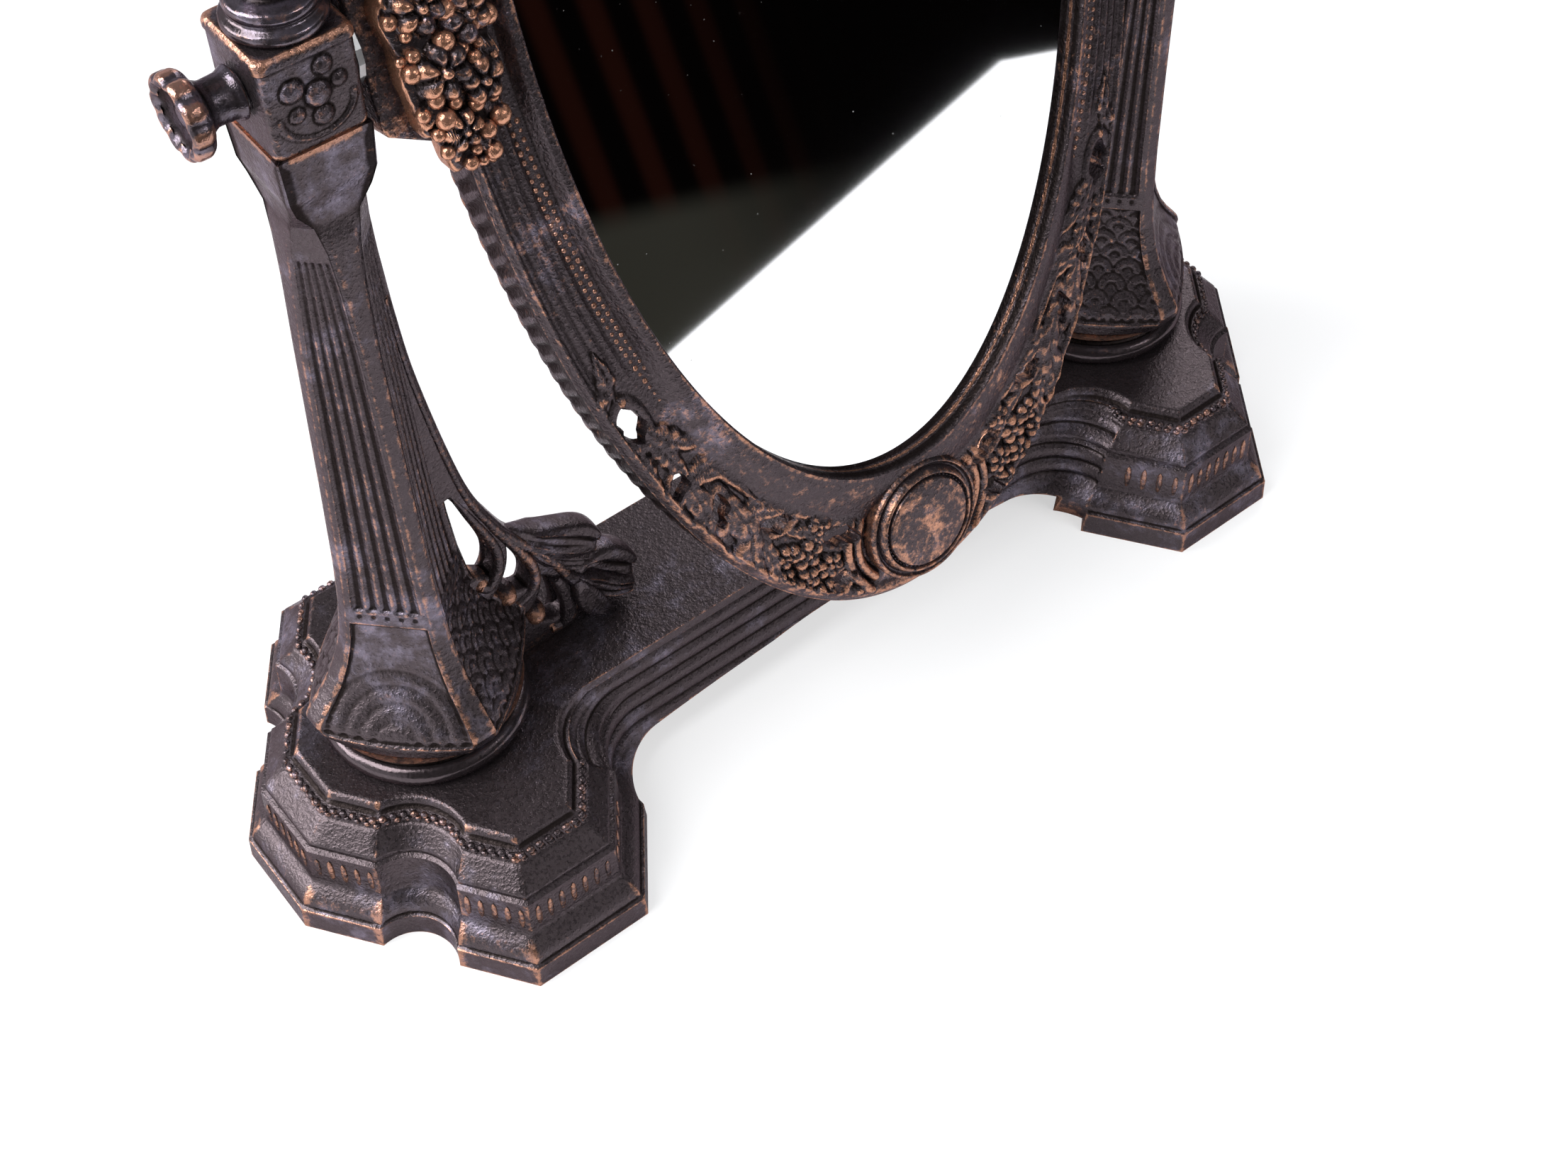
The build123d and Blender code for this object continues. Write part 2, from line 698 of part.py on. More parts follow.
# Mirror frame: an oval ring with a raised rim, rebated behind for the glass and its back
with BuildPart() as mirror_frame:
    add(oval_slab(frame_back, frame_edge, 0, oval_half_width, oval_half_height))
    with BuildSketch(oval_plane.offset(frame_back)):
        with BuildLine():
            Polyline(
                (lug_root, -lug_half_height[0]),
                (lug_end, -lug_half_height[1]),
                (lug_end, lug_half_height[1]),
                (lug_root, lug_half_height[0]),
                close=True,
            )
        make_face()
        mirror(about=Plane.YZ)
    extrude(amount=frame_edge - frame_back)
    add(oval(frame_edge, oval_half_width, oval_half_height))
    add(oval(frame_field, oval_half_width - field_inset, oval_half_height - field_inset))
    loft(ruled=True)
    add(oval_slab(frame_field, rim_front, rim_width))
    add(oval_slab(seat_front, rim_front + 1, 0), mode=Mode.SUBTRACT)
    add(oval_slab(plate_front, seat_front, rebate_grow), mode=Mode.SUBTRACT)
    add(oval_slab(frame_back - 1, plate_front, plate_grow), mode=Mode.SUBTRACT)
    with BuildSketch(oval_plane.offset(frame_back)):
        for side, drop, length, width, slope in pierced_openings:
            for across, up in ((1, -1), (-1, -1), (1, 1), (-1, 1)):
                with Locations((side * across, drop * up)):
                    add(pointed_opening(length, width), rotation=-slope * across * up)
    extrude(amount=rim_front - frame_back, mode=Mode.SUBTRACT)
    with BuildSketch(oval_plane.offset(frame_field)):
        with Locations((0, -medallion_drop), (0, medallion_drop)):
            RegularPolygon(medallion_ring_radius + seat_gap, medallion_sides)
    extrude(amount=rim_front - frame_field, mode=Mode.SUBTRACT)
    with BuildSketch(oval_plane.offset(frame_back)):
        with Locations((0, -medallion_drop), (0, medallion_drop)):
            Circle(medallion_spigot_radius + seat_gap)
    extrude(amount=frame_field - frame_back, mode=Mode.SUBTRACT)
    with BuildSketch(pivot_plane.offset(lug_end - thread_depth)):
        Circle(shank_radius + running_gap)
    extrude(amount=thread_depth, mode=Mode.SUBTRACT)
    with BuildSketch(pivot_plane.offset(-lug_end)):
        Circle(shank_radius + running_gap)
    extrude(amount=thread_depth, mode=Mode.SUBTRACT)
    plate_screw_x = sight_half_width + plate_screw_grow
    plate_screw_y = sight_half_height + plate_screw_grow
    plate_screw_places = []
    for number in range(plate_screw_count):
        turn = 2 * pi * (number + 0.5) / plate_screw_count
        plate_screw_places.append((plate_screw_x * cos(turn), plate_screw_y * sin(turn)))
    with BuildSketch(oval_plane.offset(plate_front)):
        with Locations(*plate_screw_places):
            RegularPolygon(plate_screw_radius + seat_gap / 2, plate_screw_sides)
    extrude(amount=plate_screw_length - plate_thickness + seat_gap, mode=Mode.SUBTRACT)
export_piece(mirror_frame.part, "mirror_frame")

# Glass, backing card and back plate, stacked in the rebate
glass_grow = glass_overlap
export_piece(oval_slab(glass_back, glass_front, glass_grow), "mirror_glass")
export_piece(oval_slab(plate_front, glass_back, glass_grow), "backing_card")
with BuildPart() as back_plate:
    add(oval_slab(plate_back, plate_front, plate_grow - glass_clearance))
    with BuildSketch(oval_plane.offset(plate_back)):
        with Locations(*plate_screw_places):
            RegularPolygon(plate_screw_radius + glass_clearance, plate_screw_sides)
    extrude(amount=plate_thickness, mode=Mode.SUBTRACT)
export_piece(back_plate.part, "back_plate")

with BuildPart() as back_screws:
    with BuildSketch(oval_plane.offset(plate_back)):
        with Locations(*plate_screw_places):
            RegularPolygon(plate_screw_head, plate_screw_sides)
    extrude(amount=-plate_thickness)
    with BuildSketch(oval_plane.offset(plate_back)):
        with Locations(*plate_screw_places):
            RegularPolygon(plate_screw_radius, plate_screw_sides)
    extrude(amount=plate_screw_length)
export_piece(back_screws.part, "back_screws")

# Medallions: a ring round a raised disc, riveted through the frame on a spigot
for name, height in (("lower", -medallion_drop), ("upper", medallion_drop)):
    with BuildPart() as medallion:
        with BuildSketch(oval_plane.offset(frame_field)):
            with Locations((0, height)):
                RegularPolygon(medallion_ring_radius, medallion_sides)
        extrude(amount=medallion_ring_front - frame_field)
        with BuildSketch(oval_plane.offset(medallion_ring_front)):
            with Locations((0, height)):
                RegularPolygon(medallion_ring_radius - medallion_ring_width, medallion_sides)
        extrude(amount=-medallion_ring_width, mode=Mode.SUBTRACT)
        with BuildSketch(oval_plane.offset(frame_field)):
            with Locations((0, height)):
                RegularPolygon(medallion_disc_radius, medallion_sides)
        extrude(amount=medallion_disc_front - frame_field)
        with BuildSketch(oval_plane.offset(frame_field)):
            with Locations((0, height)):
                Circle(medallion_spigot_radius)
        extrude(amount=frame_back - frame_field)
    export_piece(medallion.part, f"medallion_{name}")

# Flower cluster: a crowned pad over the lug, with flowers of round petals and berries on it
with BuildPart() as flower_cluster:
    pad_front = cluster_front + cluster_crown
    for depth, pull in ((frame_edge, 0), (cluster_front, 0), (pad_front, 2 * cluster_crown)):
        with BuildSketch(oval_plane.offset(depth)):
            with Locations((-cluster_middle, 0)):
                Ellipse(cluster_half_width - pull, cluster_half_height - pull)
    loft(ruled=True)
    with BuildSketch(oval_plane.offset(pad_front)):
        for across, up in flowers:
            with Locations((across - cluster_middle, up)):
                with PolarLocations(flower_radius * 0.6, petal_count):
                    RegularPolygon(flower_radius * 0.4, petal_count)
    extrude(amount=flower_height)
    with BuildSketch(oval_plane.offset(pad_front)):
        with Locations(*[(across - cluster_middle, up) for across, up in flowers + berries]):
            RegularPolygon(berry_radius, berry_sides)
    extrude(amount=flower_height + berry_radius / 2)
    toward_front = Axis(oval_plane.origin, oval_plane.z_dir)
    berry_tops = flower_cluster.faces().sort_by(toward_front)[-len(flowers + berries) :]
    chamfer(berry_tops.edges(), berry_radius / 3)
    add(mirror_frame.part, mode=Mode.SUBTRACT)
export_pair(flower_cluster.part, "flower_cluster")
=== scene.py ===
import json
from math import cos, pi, radians, sin, tan

import bmesh
import bpy
import numpy as np
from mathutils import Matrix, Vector


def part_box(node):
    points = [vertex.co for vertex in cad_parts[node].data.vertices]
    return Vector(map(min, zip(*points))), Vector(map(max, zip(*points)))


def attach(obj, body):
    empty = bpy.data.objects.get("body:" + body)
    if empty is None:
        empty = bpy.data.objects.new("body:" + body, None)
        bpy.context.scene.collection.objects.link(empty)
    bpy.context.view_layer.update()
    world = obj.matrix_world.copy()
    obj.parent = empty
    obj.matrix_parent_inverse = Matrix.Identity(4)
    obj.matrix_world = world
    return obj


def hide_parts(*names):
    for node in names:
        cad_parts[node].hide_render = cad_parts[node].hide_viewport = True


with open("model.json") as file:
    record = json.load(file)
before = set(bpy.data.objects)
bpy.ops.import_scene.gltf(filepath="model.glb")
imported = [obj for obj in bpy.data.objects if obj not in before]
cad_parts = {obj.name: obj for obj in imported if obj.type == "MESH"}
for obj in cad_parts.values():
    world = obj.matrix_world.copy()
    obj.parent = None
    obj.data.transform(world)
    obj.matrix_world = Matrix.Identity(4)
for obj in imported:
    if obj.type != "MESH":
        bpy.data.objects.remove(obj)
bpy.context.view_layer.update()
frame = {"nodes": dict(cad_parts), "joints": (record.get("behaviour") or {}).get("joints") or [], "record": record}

bl_info = {
    "name": "Oval Table Mirror",
    "version": (1, 0, 0),
    "blender": (4, 5, 0),
    "location": "View3D > Sidebar > Table Mirror",
    "description": "Dresses the table mirror: castings, ornament, glass and studio",
    "category": "Object",
}

MM = 0.001
SIDES = ((-1, "left"), (1, "right"))
# Width over which an edge is worn, and the height that counts as fully proud, in millimetres
WEAR_SCALE, WEAR_DEPTH = 0.9, 0.36

# Sizes shared by the pieces, in millimetres, read from the fitted parts where they show them
column_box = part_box("column_left")
collar_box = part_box("foot_collar_left")
base_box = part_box("base")
COLUMN_X = -(column_box[0].x + column_box[1].x) / 2 / MM
POD_X = 70.0
BASE_HEIGHT = base_box[1].z / MM
FOOT_HEIGHT = collar_box[1].z / MM
PIVOT = Vector(frame["joints"][0]["pos_m"]) / MM
BLOCK_HALF_WIDTH = 6.6
BLOCK_HALF_HEIGHT = column_box[1].z / MM - PIVOT.z
LEAN = radians(15.6)
ACROSS = np.array((1.0, 0.0, 0.0))
UP_OVAL = np.array((0.0, sin(LEAN), cos(LEAN)))
OUT_OVAL = np.array((0.0, -cos(LEAN), sin(LEAN)))
PIVOT_POINT = np.array(PIVOT)

# Distances within which points of a piece, and of a shape that is cut, are merged, in metres
WELD, CUT_WELD = 0.000004, 0.000002


class FinishColours(bpy.types.PropertyGroup):
    """Colours of the mirror's finishes"""

    # Dark tone of the patina; hollows and the frame's walls also take it as painted shade
    shade: bpy.props.FloatVectorProperty(
        name="Shade", description="Dark patina in the hollows", subtype="COLOR",
        default=(0.010, 0.007, 0.006), min=0, max=1,
    )
    patina: bpy.props.FloatVectorProperty(
        name="Patina", description="Brown patina of the open faces", subtype="COLOR",
        default=(0.085, 0.068, 0.074), min=0, max=1,
    )
    # Colour of the painted sheen: grey-violet highlights laid into the patina colour
    painted_sheen: bpy.props.FloatVectorProperty(
        name="Sheen", description="Grey violet bloom on the patina", subtype="COLOR",
        default=(0.30, 0.27, 0.36), min=0, max=1,
    )
    copper: bpy.props.FloatVectorProperty(
        name="Copper", description="Bare metal on worn edges", subtype="COLOR",
        default=(0.55, 0.27, 0.17), min=0, max=1,
    )


class StageSizes(bpy.types.PropertyGroup):
    """Sizes of the studio"""

    floor_reach: bpy.props.FloatProperty(
        name="Floor reach", description="Half the side of the floor", default=3.0, min=0.5,
        unit="LENGTH",
    )
    key_power: bpy.props.FloatProperty(
        name="Key power", description="Power of the large soft light", default=10.0, min=0,
    )
    fill_power: bpy.props.FloatProperty(
        name="Fill power", description="Power of the lights from the other sides", default=2.5, min=0,
    )


class Maths:
    """A shader socket that can be used in Python expressions."""

    def __init__(self, shader, socket):
        self.shader = shader
        self.socket = socket

    def _with(self, operation, other, swap=False):
        first, second = (other, self) if swap else (self, other)
        return self.shader.node("ShaderNodeMath", {"operation": operation}, {0: first, 1: second})

    def __add__(self, other):
        return self._with("ADD", other)

    __radd__ = __add__

    def __sub__(self, other):
        return self._with("SUBTRACT", other)

    def __rsub__(self, other):
        return self._with("SUBTRACT", other, swap=True)

    def __mul__(self, other):
        return self._with("MULTIPLY", other)

    __rmul__ = __mul__


class Shader:
    """The node tree of a material or of the world, built node by node."""

    def __init__(self, owner, output="ShaderNodeOutputMaterial"):
        self.owner = owner
        owner.use_nodes = True
        self.tree = owner.node_tree
        self.tree.nodes.clear()
        self.output = self.tree.nodes.new(output)

    def node(self, kind, settings=None, values=None, output=0):
        """Adds a node: its settings first, then the values or links of its sockets."""
        made = self.tree.nodes.new(kind)
        for key, value in (settings or {}).items():
            if key == "stops":
                ramp = made.color_ramp
                ramp.elements[0].position, ramp.elements[0].color = value[0]
                ramp.elements[1].position, ramp.elements[1].color = value[-1]
                for place, colour in value[1:-1]:
                    ramp.elements.new(place).color = colour
            else:
                setattr(made, key, value)
        for key, value in (values or {}).items():
            self.feed(made.inputs[key], value)
        return Maths(self, made.outputs[output])

    def feed(self, socket, value):
        """Links a socket, or sets its value."""
        if isinstance(value, Maths):
            self.tree.links.new(value.socket, socket)
        elif hasattr(value, "__len__") and len(value) == 3 and socket.type == "RGBA":
            socket.default_value = (*value, 1.0)
        else:
            socket.default_value = value

    def place(self):
        """The point's place on the object."""
        return self.node("ShaderNodeTexCoord", output="Object")

    def part(self, vector, axis):
        """One coordinate of a vector."""
        return self.node("ShaderNodeSeparateXYZ", None, {"Vector": vector}, output=axis)

    def noise(self, scale, detail=4.0, roughness=0.6):
        """Noise over the object, from about 0 to 1."""
        values = {"Vector": self.place(), "Scale": scale, "Detail": detail, "Roughness": roughness}
        return self.node("ShaderNodeTexNoise", None, values)

    def ramp(self, value, low, high):
        """0 below low, 1 above high."""
        return self.node(
            "ShaderNodeMapRange", {"clamp": True, "interpolation_type": "SMOOTHSTEP"},
            {"Value": value, "From Min": low, "From Max": high, "To Min": 0.0, "To Max": 1.0},
        )

    def mix(self, share, first, second):
        """A colour a share of the way from the first to the second."""
        values = {0: share, 6: first, 7: second}
        return self.node("ShaderNodeMix", {"data_type": "RGBA"}, values, output=2)

    def bump(self, height, distance, strength):
        """A normal that follows a height."""
        return self.node(
            "ShaderNodeBump", None, {"Height": height, "Distance": distance, "Strength": strength}
        )

    def ray(self, kind):
        """1 for rays of that kind, such as Is Camera Ray, and 0 for the rest."""
        return self.node("ShaderNodeLightPath", output=kind)

    def blend(self, share, first, second):
        """A shader a share of the way from the first to the second."""
        return self.node("ShaderNodeMixShader", None, {0: share, 1: first, 2: second})

    def end(self, made):
        """Ends the tree in a shader, and gives what owns the tree."""
        self.tree.links.new(made.socket, self.output.inputs["Surface"])
        return self.owner

    def surface(self, **sockets):
        """Ends the material in one Principled shader."""
        values = {key.replace("_", " "): value for key, value in sockets.items()}
        return self.end(self.node("ShaderNodeBsdfPrincipled", None, values))


# Noise scales of the patina, from its grit to its clouds, and the height of its grain in metres
GRIT_SCALE, FINE_SCALE, MOTTLE_SCALE, CLOUD_SCALE = 1900.0, 900.0, 230.0, 45.0
GRAIN_HEIGHT = 0.00032


def patina(name, colours, wear=0.5, painted_sheen=0.5, grain=1.0, gloss=0.0):
    """Cast metal under a dark patina, rubbed to copper along its edges and high spots, with painted sheen on its
    open faces and painted shade in its hollows.
    """
    shader = Shader(bpy.data.materials.new(name))
    edge = shader.node("ShaderNodeAttribute", {"attribute_name": "wear"}, output="Fac")
    grit = shader.noise(GRIT_SCALE, 2.0, 0.6)
    fine = shader.noise(FINE_SCALE, 4.0, 0.75)
    mottle = shader.noise(MOTTLE_SCALE, 5.0, 0.7)
    cloud = shader.noise(CLOUD_SCALE, 4.0, 0.6)

    # Copper shows on proud edges, broken up by the noise, and in thin rubbed patches
    broken = (fine - 0.5) * 0.9 + (mottle - 0.5) * 0.6 + (cloud - 0.5) * 0.35
    proud = shader.ramp(edge + broken, 0.77 - 0.12 * wear, 1.06 - 0.14 * wear)
    patches = fine * 0.6 + mottle * 0.4 + (cloud - 0.5) * 0.45
    rubbed = shader.ramp(patches, 0.66 - 0.12 * wear, 0.80 - 0.07 * wear)
    shown = {0: proud * (0.45 + 0.4 * wear), 1: rubbed * wear}
    copper = shader.node("ShaderNodeMath", {"operation": "MAXIMUM"}, shown)

    # The patina is darker in hollows, partly its own dark patina and partly painted shade standing in for
    # occlusion, and carries a painted grey-violet sheen where it lies open
    hollow = 1.0 - shader.ramp(edge + (fine - 0.5) * 0.1, 0.30, 0.47)
    # Painted sheen: cloudy patches of a grey-violet highlight colour
    painted_sheen_share = shader.ramp(cloud * 0.5 + mottle * 0.5, 0.60 - 0.2 * painted_sheen, 0.70)
    base = shader.mix(0.45 + fine * 0.55, colours.shade, colours.patina)
    base = shader.mix(painted_sheen_share * 0.5, base, colours.painted_sheen)
    # Painted shade: sunk points, and the frame's walls, take the shade colour
    base = shader.mix(hollow * 0.9, base, colours.shade)
    base = shader.mix(copper, base, colours.copper)

    # Cast grain, with glints on its grit
    glint = shader.ramp(grit, 0.48, 0.66)
    rough = (0.33 - 0.12 * gloss) - glint * 0.15 + (fine - 0.5) * 0.12 + hollow * 0.14
    relief = shader.bump(grit * 0.55 + fine * 0.45, GRAIN_HEIGHT * grain, 0.85)
    return shader.surface(
        Base_Color=base, Metallic=0.85, Roughness=rough, Normal=relief,
        Specular_Tint=(0.45, 0.40, 0.42), Specular_IOR_Level=0.35,
    )


def steel(name):
    """Plain zinc-plated steel with a faint grain."""
    shader = Shader(bpy.data.materials.new(name))
    fine = shader.noise(1400.0, 3.0)
    colour = shader.mix(fine, (0.33, 0.33, 0.34), (0.5, 0.5, 0.51))
    return shader.surface(
        Base_Color=colour, Metallic=1.0, Roughness=0.32 + fine * 0.15,
        Normal=shader.bump(fine, 0.00005, 0.4),
    )


def silvered_glass(name):
    """Mirror: a silvered back under clean glass, with a few specks of dust."""
    shader = Shader(bpy.data.materials.new(name))
    cells = {"Vector": shader.place(), "Scale": 420.0}
    dust = shader.node("ShaderNodeTexVoronoi", {"feature": "F1"}, cells, output="Distance")
    cloud = shader.noise(30.0, 3.0)
    speck = shader.ramp(0.06 - dust + (cloud - 0.5) * 0.09, 0.0, 0.05)
    colour = shader.mix(speck, (0.9, 0.905, 0.91), (0.7, 0.7, 0.7))
    return shader.surface(Base_Color=colour, Metallic=1.0, Roughness=0.03 + speck * 0.25)


def card(name):
    """Grey backing card."""
    shader = Shader(bpy.data.materials.new(name))
    fibre = shader.noise(700.0, 5.0)
    colour = shader.mix(fibre, (0.30, 0.26, 0.20), (0.45, 0.40, 0.32))
    return shader.surface(Base_Color=colour, Roughness=0.85, Normal=shader.bump(fibre, 0.0001, 0.5))


def black_sheet(name):
    """Back plate in dull black paint, thin in places."""
    shader = Shader(bpy.data.materials.new(name))
    peel = shader.noise(420.0, 3.0)
    worn = shader.ramp(shader.noise(60.0, 6.0, 0.7), 0.62, 0.72)
    colour = shader.mix(worn, (0.018, 0.016, 0.015), (0.05, 0.045, 0.04))
    return shader.surface(
        Base_Color=colour, Roughness=0.5 + peel * 0.15, Normal=shader.bump(peel, 0.0001, 0.4)
    )


# How worn, how much painted sheen, how grainy and how glossy each patina is
PATINAS = {
    "cast_patina": dict(wear=0.3, painted_sheen=0.5),
    "polished_patina": dict(wear=0.1, painted_sheen=0.6, grain=0.25, gloss=1.0),
    "bead_patina": dict(wear=0.35, painted_sheen=0.8, gloss=0.5),
    "frame_patina": dict(wear=0.75, painted_sheen=0.35, grain=1.2),
    "cluster_copper": dict(wear=1.0, painted_sheen=0.4, grain=0.7, gloss=0.6),
    "medallion_copper": dict(wear=0.9, painted_sheen=0.5, grain=0.8),
    "knob_patina": dict(wear=0.15, painted_sheen=0.9, grain=0.5, gloss=0.8),
}
OTHER_FINISHES = {
    "zinc_steel": steel,
    "silvered_glass": silvered_glass,
    "grey_card": card,
    "dull_black_paint": black_sheet,
}
# Finish of each material slot of the fitted parts
SLOT_FINISH = {
    "bronze_casting": "cast_patina",
    "frame_casting": "frame_patina",
    "knob_brass": "knob_patina",
    "steel": "zinc_steel",
    "silvered_glass": "silvered_glass",
    "card": "grey_card",
    "back_metal": "dull_black_paint",
}


def finish(name):
    """The finish of that name, made once; its material has a name that no fitted part brings along."""
    full_name = f"{name}_finish"
    made = bpy.data.materials.get(full_name)
    if made:
        return made
    if name in PATINAS:
        return patina(full_name, bpy.context.scene.mirror_colours, **PATINAS[name])
    return OTHER_FINISHES[name](full_name)


def between(pair, share):
    """Value a share of the way from the first of a pair to the second."""
    return pair[0] + (pair[1] - pair[0]) * share


def soft_step(value, low, high):
    """0 below low, 1 above high, and smooth between them."""
    share = np.clip((value - low) / (high - low), 0.0, 1.0)
    return share * share * (3 - 2 * share)


def window(value, low, high, edge):
    """1 from low to high, falling to 0 over the edge outside them."""
    return soft_step(value, low - edge, low) * (1 - soft_step(value, high, high + edge))


def bump_at(value, middle, half):
    """A round bump of height 1 about the middle."""
    return np.clip(1 - ((value - middle) / half) ** 2, 0.0, None) ** 0.75


def arc_through(start, middle, end, count):
    """Points on the circular arc through three points of a plane."""
    a, b, c = (complex(*point) for point in (start, middle, end))
    w = (c - a) / (b - a)
    centre = (b - a) * (w - abs(w) ** 2) / (2j * w.imag) + a
    first = np.angle(a - centre)
    sweep = np.angle((c - centre) / (a - centre))
    turn = np.angle((b - centre) / (a - centre)) % (2 * pi)
    sweep %= 2 * pi
    if turn > sweep:
        sweep -= 2 * pi
    angles = first + sweep * np.linspace(0, 1, count)
    reach = abs(a - centre)
    return np.stack([centre.real + reach * np.cos(angles), centre.imag + reach * np.sin(angles)], 1)


def smooth_line(points, count):
    """Points on a smooth curve through the given ones."""
    points = np.asarray(points, float)
    ends = np.vstack([2 * points[0] - points[1], points, 2 * points[-1] - points[-2]])
    made = []
    for place in np.linspace(0, len(points) - 1, count):
        number = min(int(place), len(points) - 2)
        t = place - number
        p0, p1, p2, p3 = ends[number : number + 4]
        square = 2 * p0 - 5 * p1 + 4 * p2 - p3
        cube = 3 * p1 - p0 - 3 * p2 + p3
        made.append(0.5 * (2 * p1 + (p2 - p0) * t + square * t**2 + cube * t**3))
    return np.array(made)


def spread(points, count):
    """The same broken line with its points evenly spaced."""
    points = np.asarray(points, float)
    reach = np.concatenate([[0], np.cumsum(np.linalg.norm(np.diff(points, axis=0), axis=1))])
    places = np.linspace(0, reach[-1], count)
    return np.stack([np.interp(places, reach, points[:, axis]) for axis in range(points.shape[1])], 1)


def turn_points(count):
    """Angles of points evenly round a full turn."""
    return np.linspace(0, 2 * pi, count, endpoint=False)


def grid_faces(rows, columns):
    """Quads between closed rows of points."""
    made = []
    for row in range(rows - 1):
        first = row * columns
        for column in range(columns):
            beside = (column + 1) % columns
            made.append((first + column, first + beside, first + beside + columns, first + column + columns))
    return made


def tube_of_rings(rings, cap_start=True, cap_end=True):
    """Points and faces of a skin over closed rings of equal length, each end closed by a fan."""
    rings = [np.asarray(ring, float) for ring in rings]
    columns = len(rings[0])
    points = list(np.concatenate(rings))
    faces = grid_faces(len(rings), columns)
    ends = ((cap_start, 0, rings[0]), (cap_end, (len(rings) - 1) * columns, rings[-1]))
    for wanted, first, ring in ends:
        if wanted:
            middle = len(points)
            points.append(ring.mean(0))
            faces += [(first + n, first + (n + 1) % columns, middle) for n in range(columns)]
    return np.array(points), faces


def welded_mesh(name, points, faces, reach):
    """A mesh from points in millimetres, its doubles merged and its faces turned outwards."""
    mesh = bpy.data.meshes.new(name)
    mesh.from_pydata([tuple(point) for point in np.asarray(points) * MM], [], faces)
    work = bmesh.new()
    work.from_mesh(mesh)
    bmesh.ops.remove_doubles(work, verts=work.verts, dist=reach)
    bmesh.ops.recalc_face_normals(work, faces=work.faces)
    work.to_mesh(mesh)
    work.free()
    return mesh


def mesh_piece(name, points, faces, body, material, nodes=(), sharp=32.0, worn=1.0, rub_and_shade=None):
    """A finished piece from points in millimetres: it rides on a body and may stand for fitted parts."""
    mesh = welded_mesh(name, points, faces, WELD)
    return dress(mesh, name, body, material, nodes, sharp, worn, rub_and_shade)


def linked(name, data):
    """A new object of the scene."""
    thing = bpy.data.objects.new(name, data)
    bpy.context.scene.collection.objects.link(thing)
    return thing


def final_mesh(thing):
    """The mesh that an object's modifiers make of it; the object is removed."""
    bpy.context.view_layer.update()
    graph = bpy.context.evaluated_depsgraph_get()
    made = bpy.data.meshes.new_from_object(thing.evaluated_get(graph))
    bpy.data.objects.remove(thing)
    return made


def mark_wear(mesh, worn=1.0, rub_and_shade=None):
    """Stores for each point how proud of its surroundings it lies, from 0 sunk to 1 proud; flat is 0.5.

    The function given last adds to it where a part is handled more, and takes from it where painted shade is
    wanted; the finishes paint copper wear on proud points and painted shade on sunk ones.
    """
    count = len(mesh.vertices)
    points = np.empty(3 * count)
    normals = np.empty(3 * count)
    mesh.vertices.foreach_get("co", points)
    mesh.vertices.foreach_get("normal", normals)
    points = points.reshape(-1, 3) / MM
    edges = np.empty(2 * len(mesh.edges), int)
    mesh.edges.foreach_get("vertices", edges)
    edges = edges.reshape(-1, 2)
    starts = np.concatenate([edges[:, 0], edges[:, 1]])
    ends = np.concatenate([edges[:, 1], edges[:, 0]])
    reach = np.linalg.norm(points[starts] - points[ends], axis=1) + 0.02
    total = np.maximum(np.bincount(starts, 1 / reach, count), 1e-9)
    rounds = int(np.clip((WEAR_SCALE / np.median(reach)) ** 2, 3, 30))
    smooth = points.copy()
    for _ in range(rounds):
        pulled = [np.bincount(starts, smooth[ends, axis] / reach, count) / total for axis in range(3)]
        smooth = 0.4 * smooth + 0.6 * np.stack(pulled, 1)
    proud = ((points - smooth) * normals.reshape(-1, 3)).sum(1)
    value = 0.5 + worn * proud / WEAR_DEPTH
    if rub_and_shade:
        value = value + rub_and_shade(points)
    wear = mesh.attributes.new("wear", "FLOAT", "POINT")
    wear.data.foreach_set("value", np.clip(value, 0, 1).astype(np.float32))


def dress(mesh, name, body, material, nodes=(), sharp=32.0, worn=1.0, rub_and_shade=None):
    """Makes a piece of a finished mesh: smooth shading, finish, body and slot."""
    mesh.name = name
    mesh.shade_smooth()
    mesh.set_sharp_from_angle(angle=radians(sharp))
    mark_wear(mesh, worn, rub_and_shade)
    mesh.materials.clear()
    mesh.materials.append(finish(material))
    piece = linked(name, mesh)
    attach(piece, body)
    if nodes:
        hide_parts(*nodes)
    return piece


def joined(parts):
    """One list of points and faces from several."""
    points, faces = [], []
    for some_points, some_faces in parts:
        first = sum(len(group) for group in points)
        points.append(np.asarray(some_points, float))
        faces += [tuple(first + corner for corner in face) for face in some_faces]
    return np.concatenate(points), faces


def lathe(profile, steps, ripple=None):
    """A turned skin about Z from (radius, height) pairs; ripple(angle, radius, height) adds to the radius."""
    angles = turn_points(steps)
    rings = []
    for radius, height in profile:
        reach = radius + (ripple(angles, radius, height) if ripple else 0.0)
        rings.append(np.stack([reach * np.cos(angles), reach * np.sin(angles), np.full(steps, height)], 1))
    return tube_of_rings(rings)


def rounded(profile, radius, steps=4):
    """The corners of a profile, rounded, with its ends kept."""
    profile = [np.array(point, float) for point in profile]
    made = [profile[0]]
    for before, corner, after in zip(profile, profile[1:], profile[2:]):
        back, forth = before - corner, after - corner
        reach = min(radius, 0.45 * np.linalg.norm(back), 0.45 * np.linalg.norm(forth))
        start = corner + back / np.linalg.norm(back) * reach
        end = corner + forth / np.linalg.norm(forth) * reach
        for t in np.linspace(0, 1, steps):
            made.append((1 - t) ** 2 * start + 2 * t * (1 - t) * corner + t * t * end)
    made.append(profile[-1])
    return made


def oval_point(across, up, out):
    """Points of the frame: across it, up its face and out of it, from the pivot line."""
    across, up, out = np.broadcast_arrays(np.asarray(across, float), up, out)
    return PIVOT_POINT + across[..., None] * ACROSS + up[..., None] * UP_OVAL + out[..., None] * OUT_OVAL


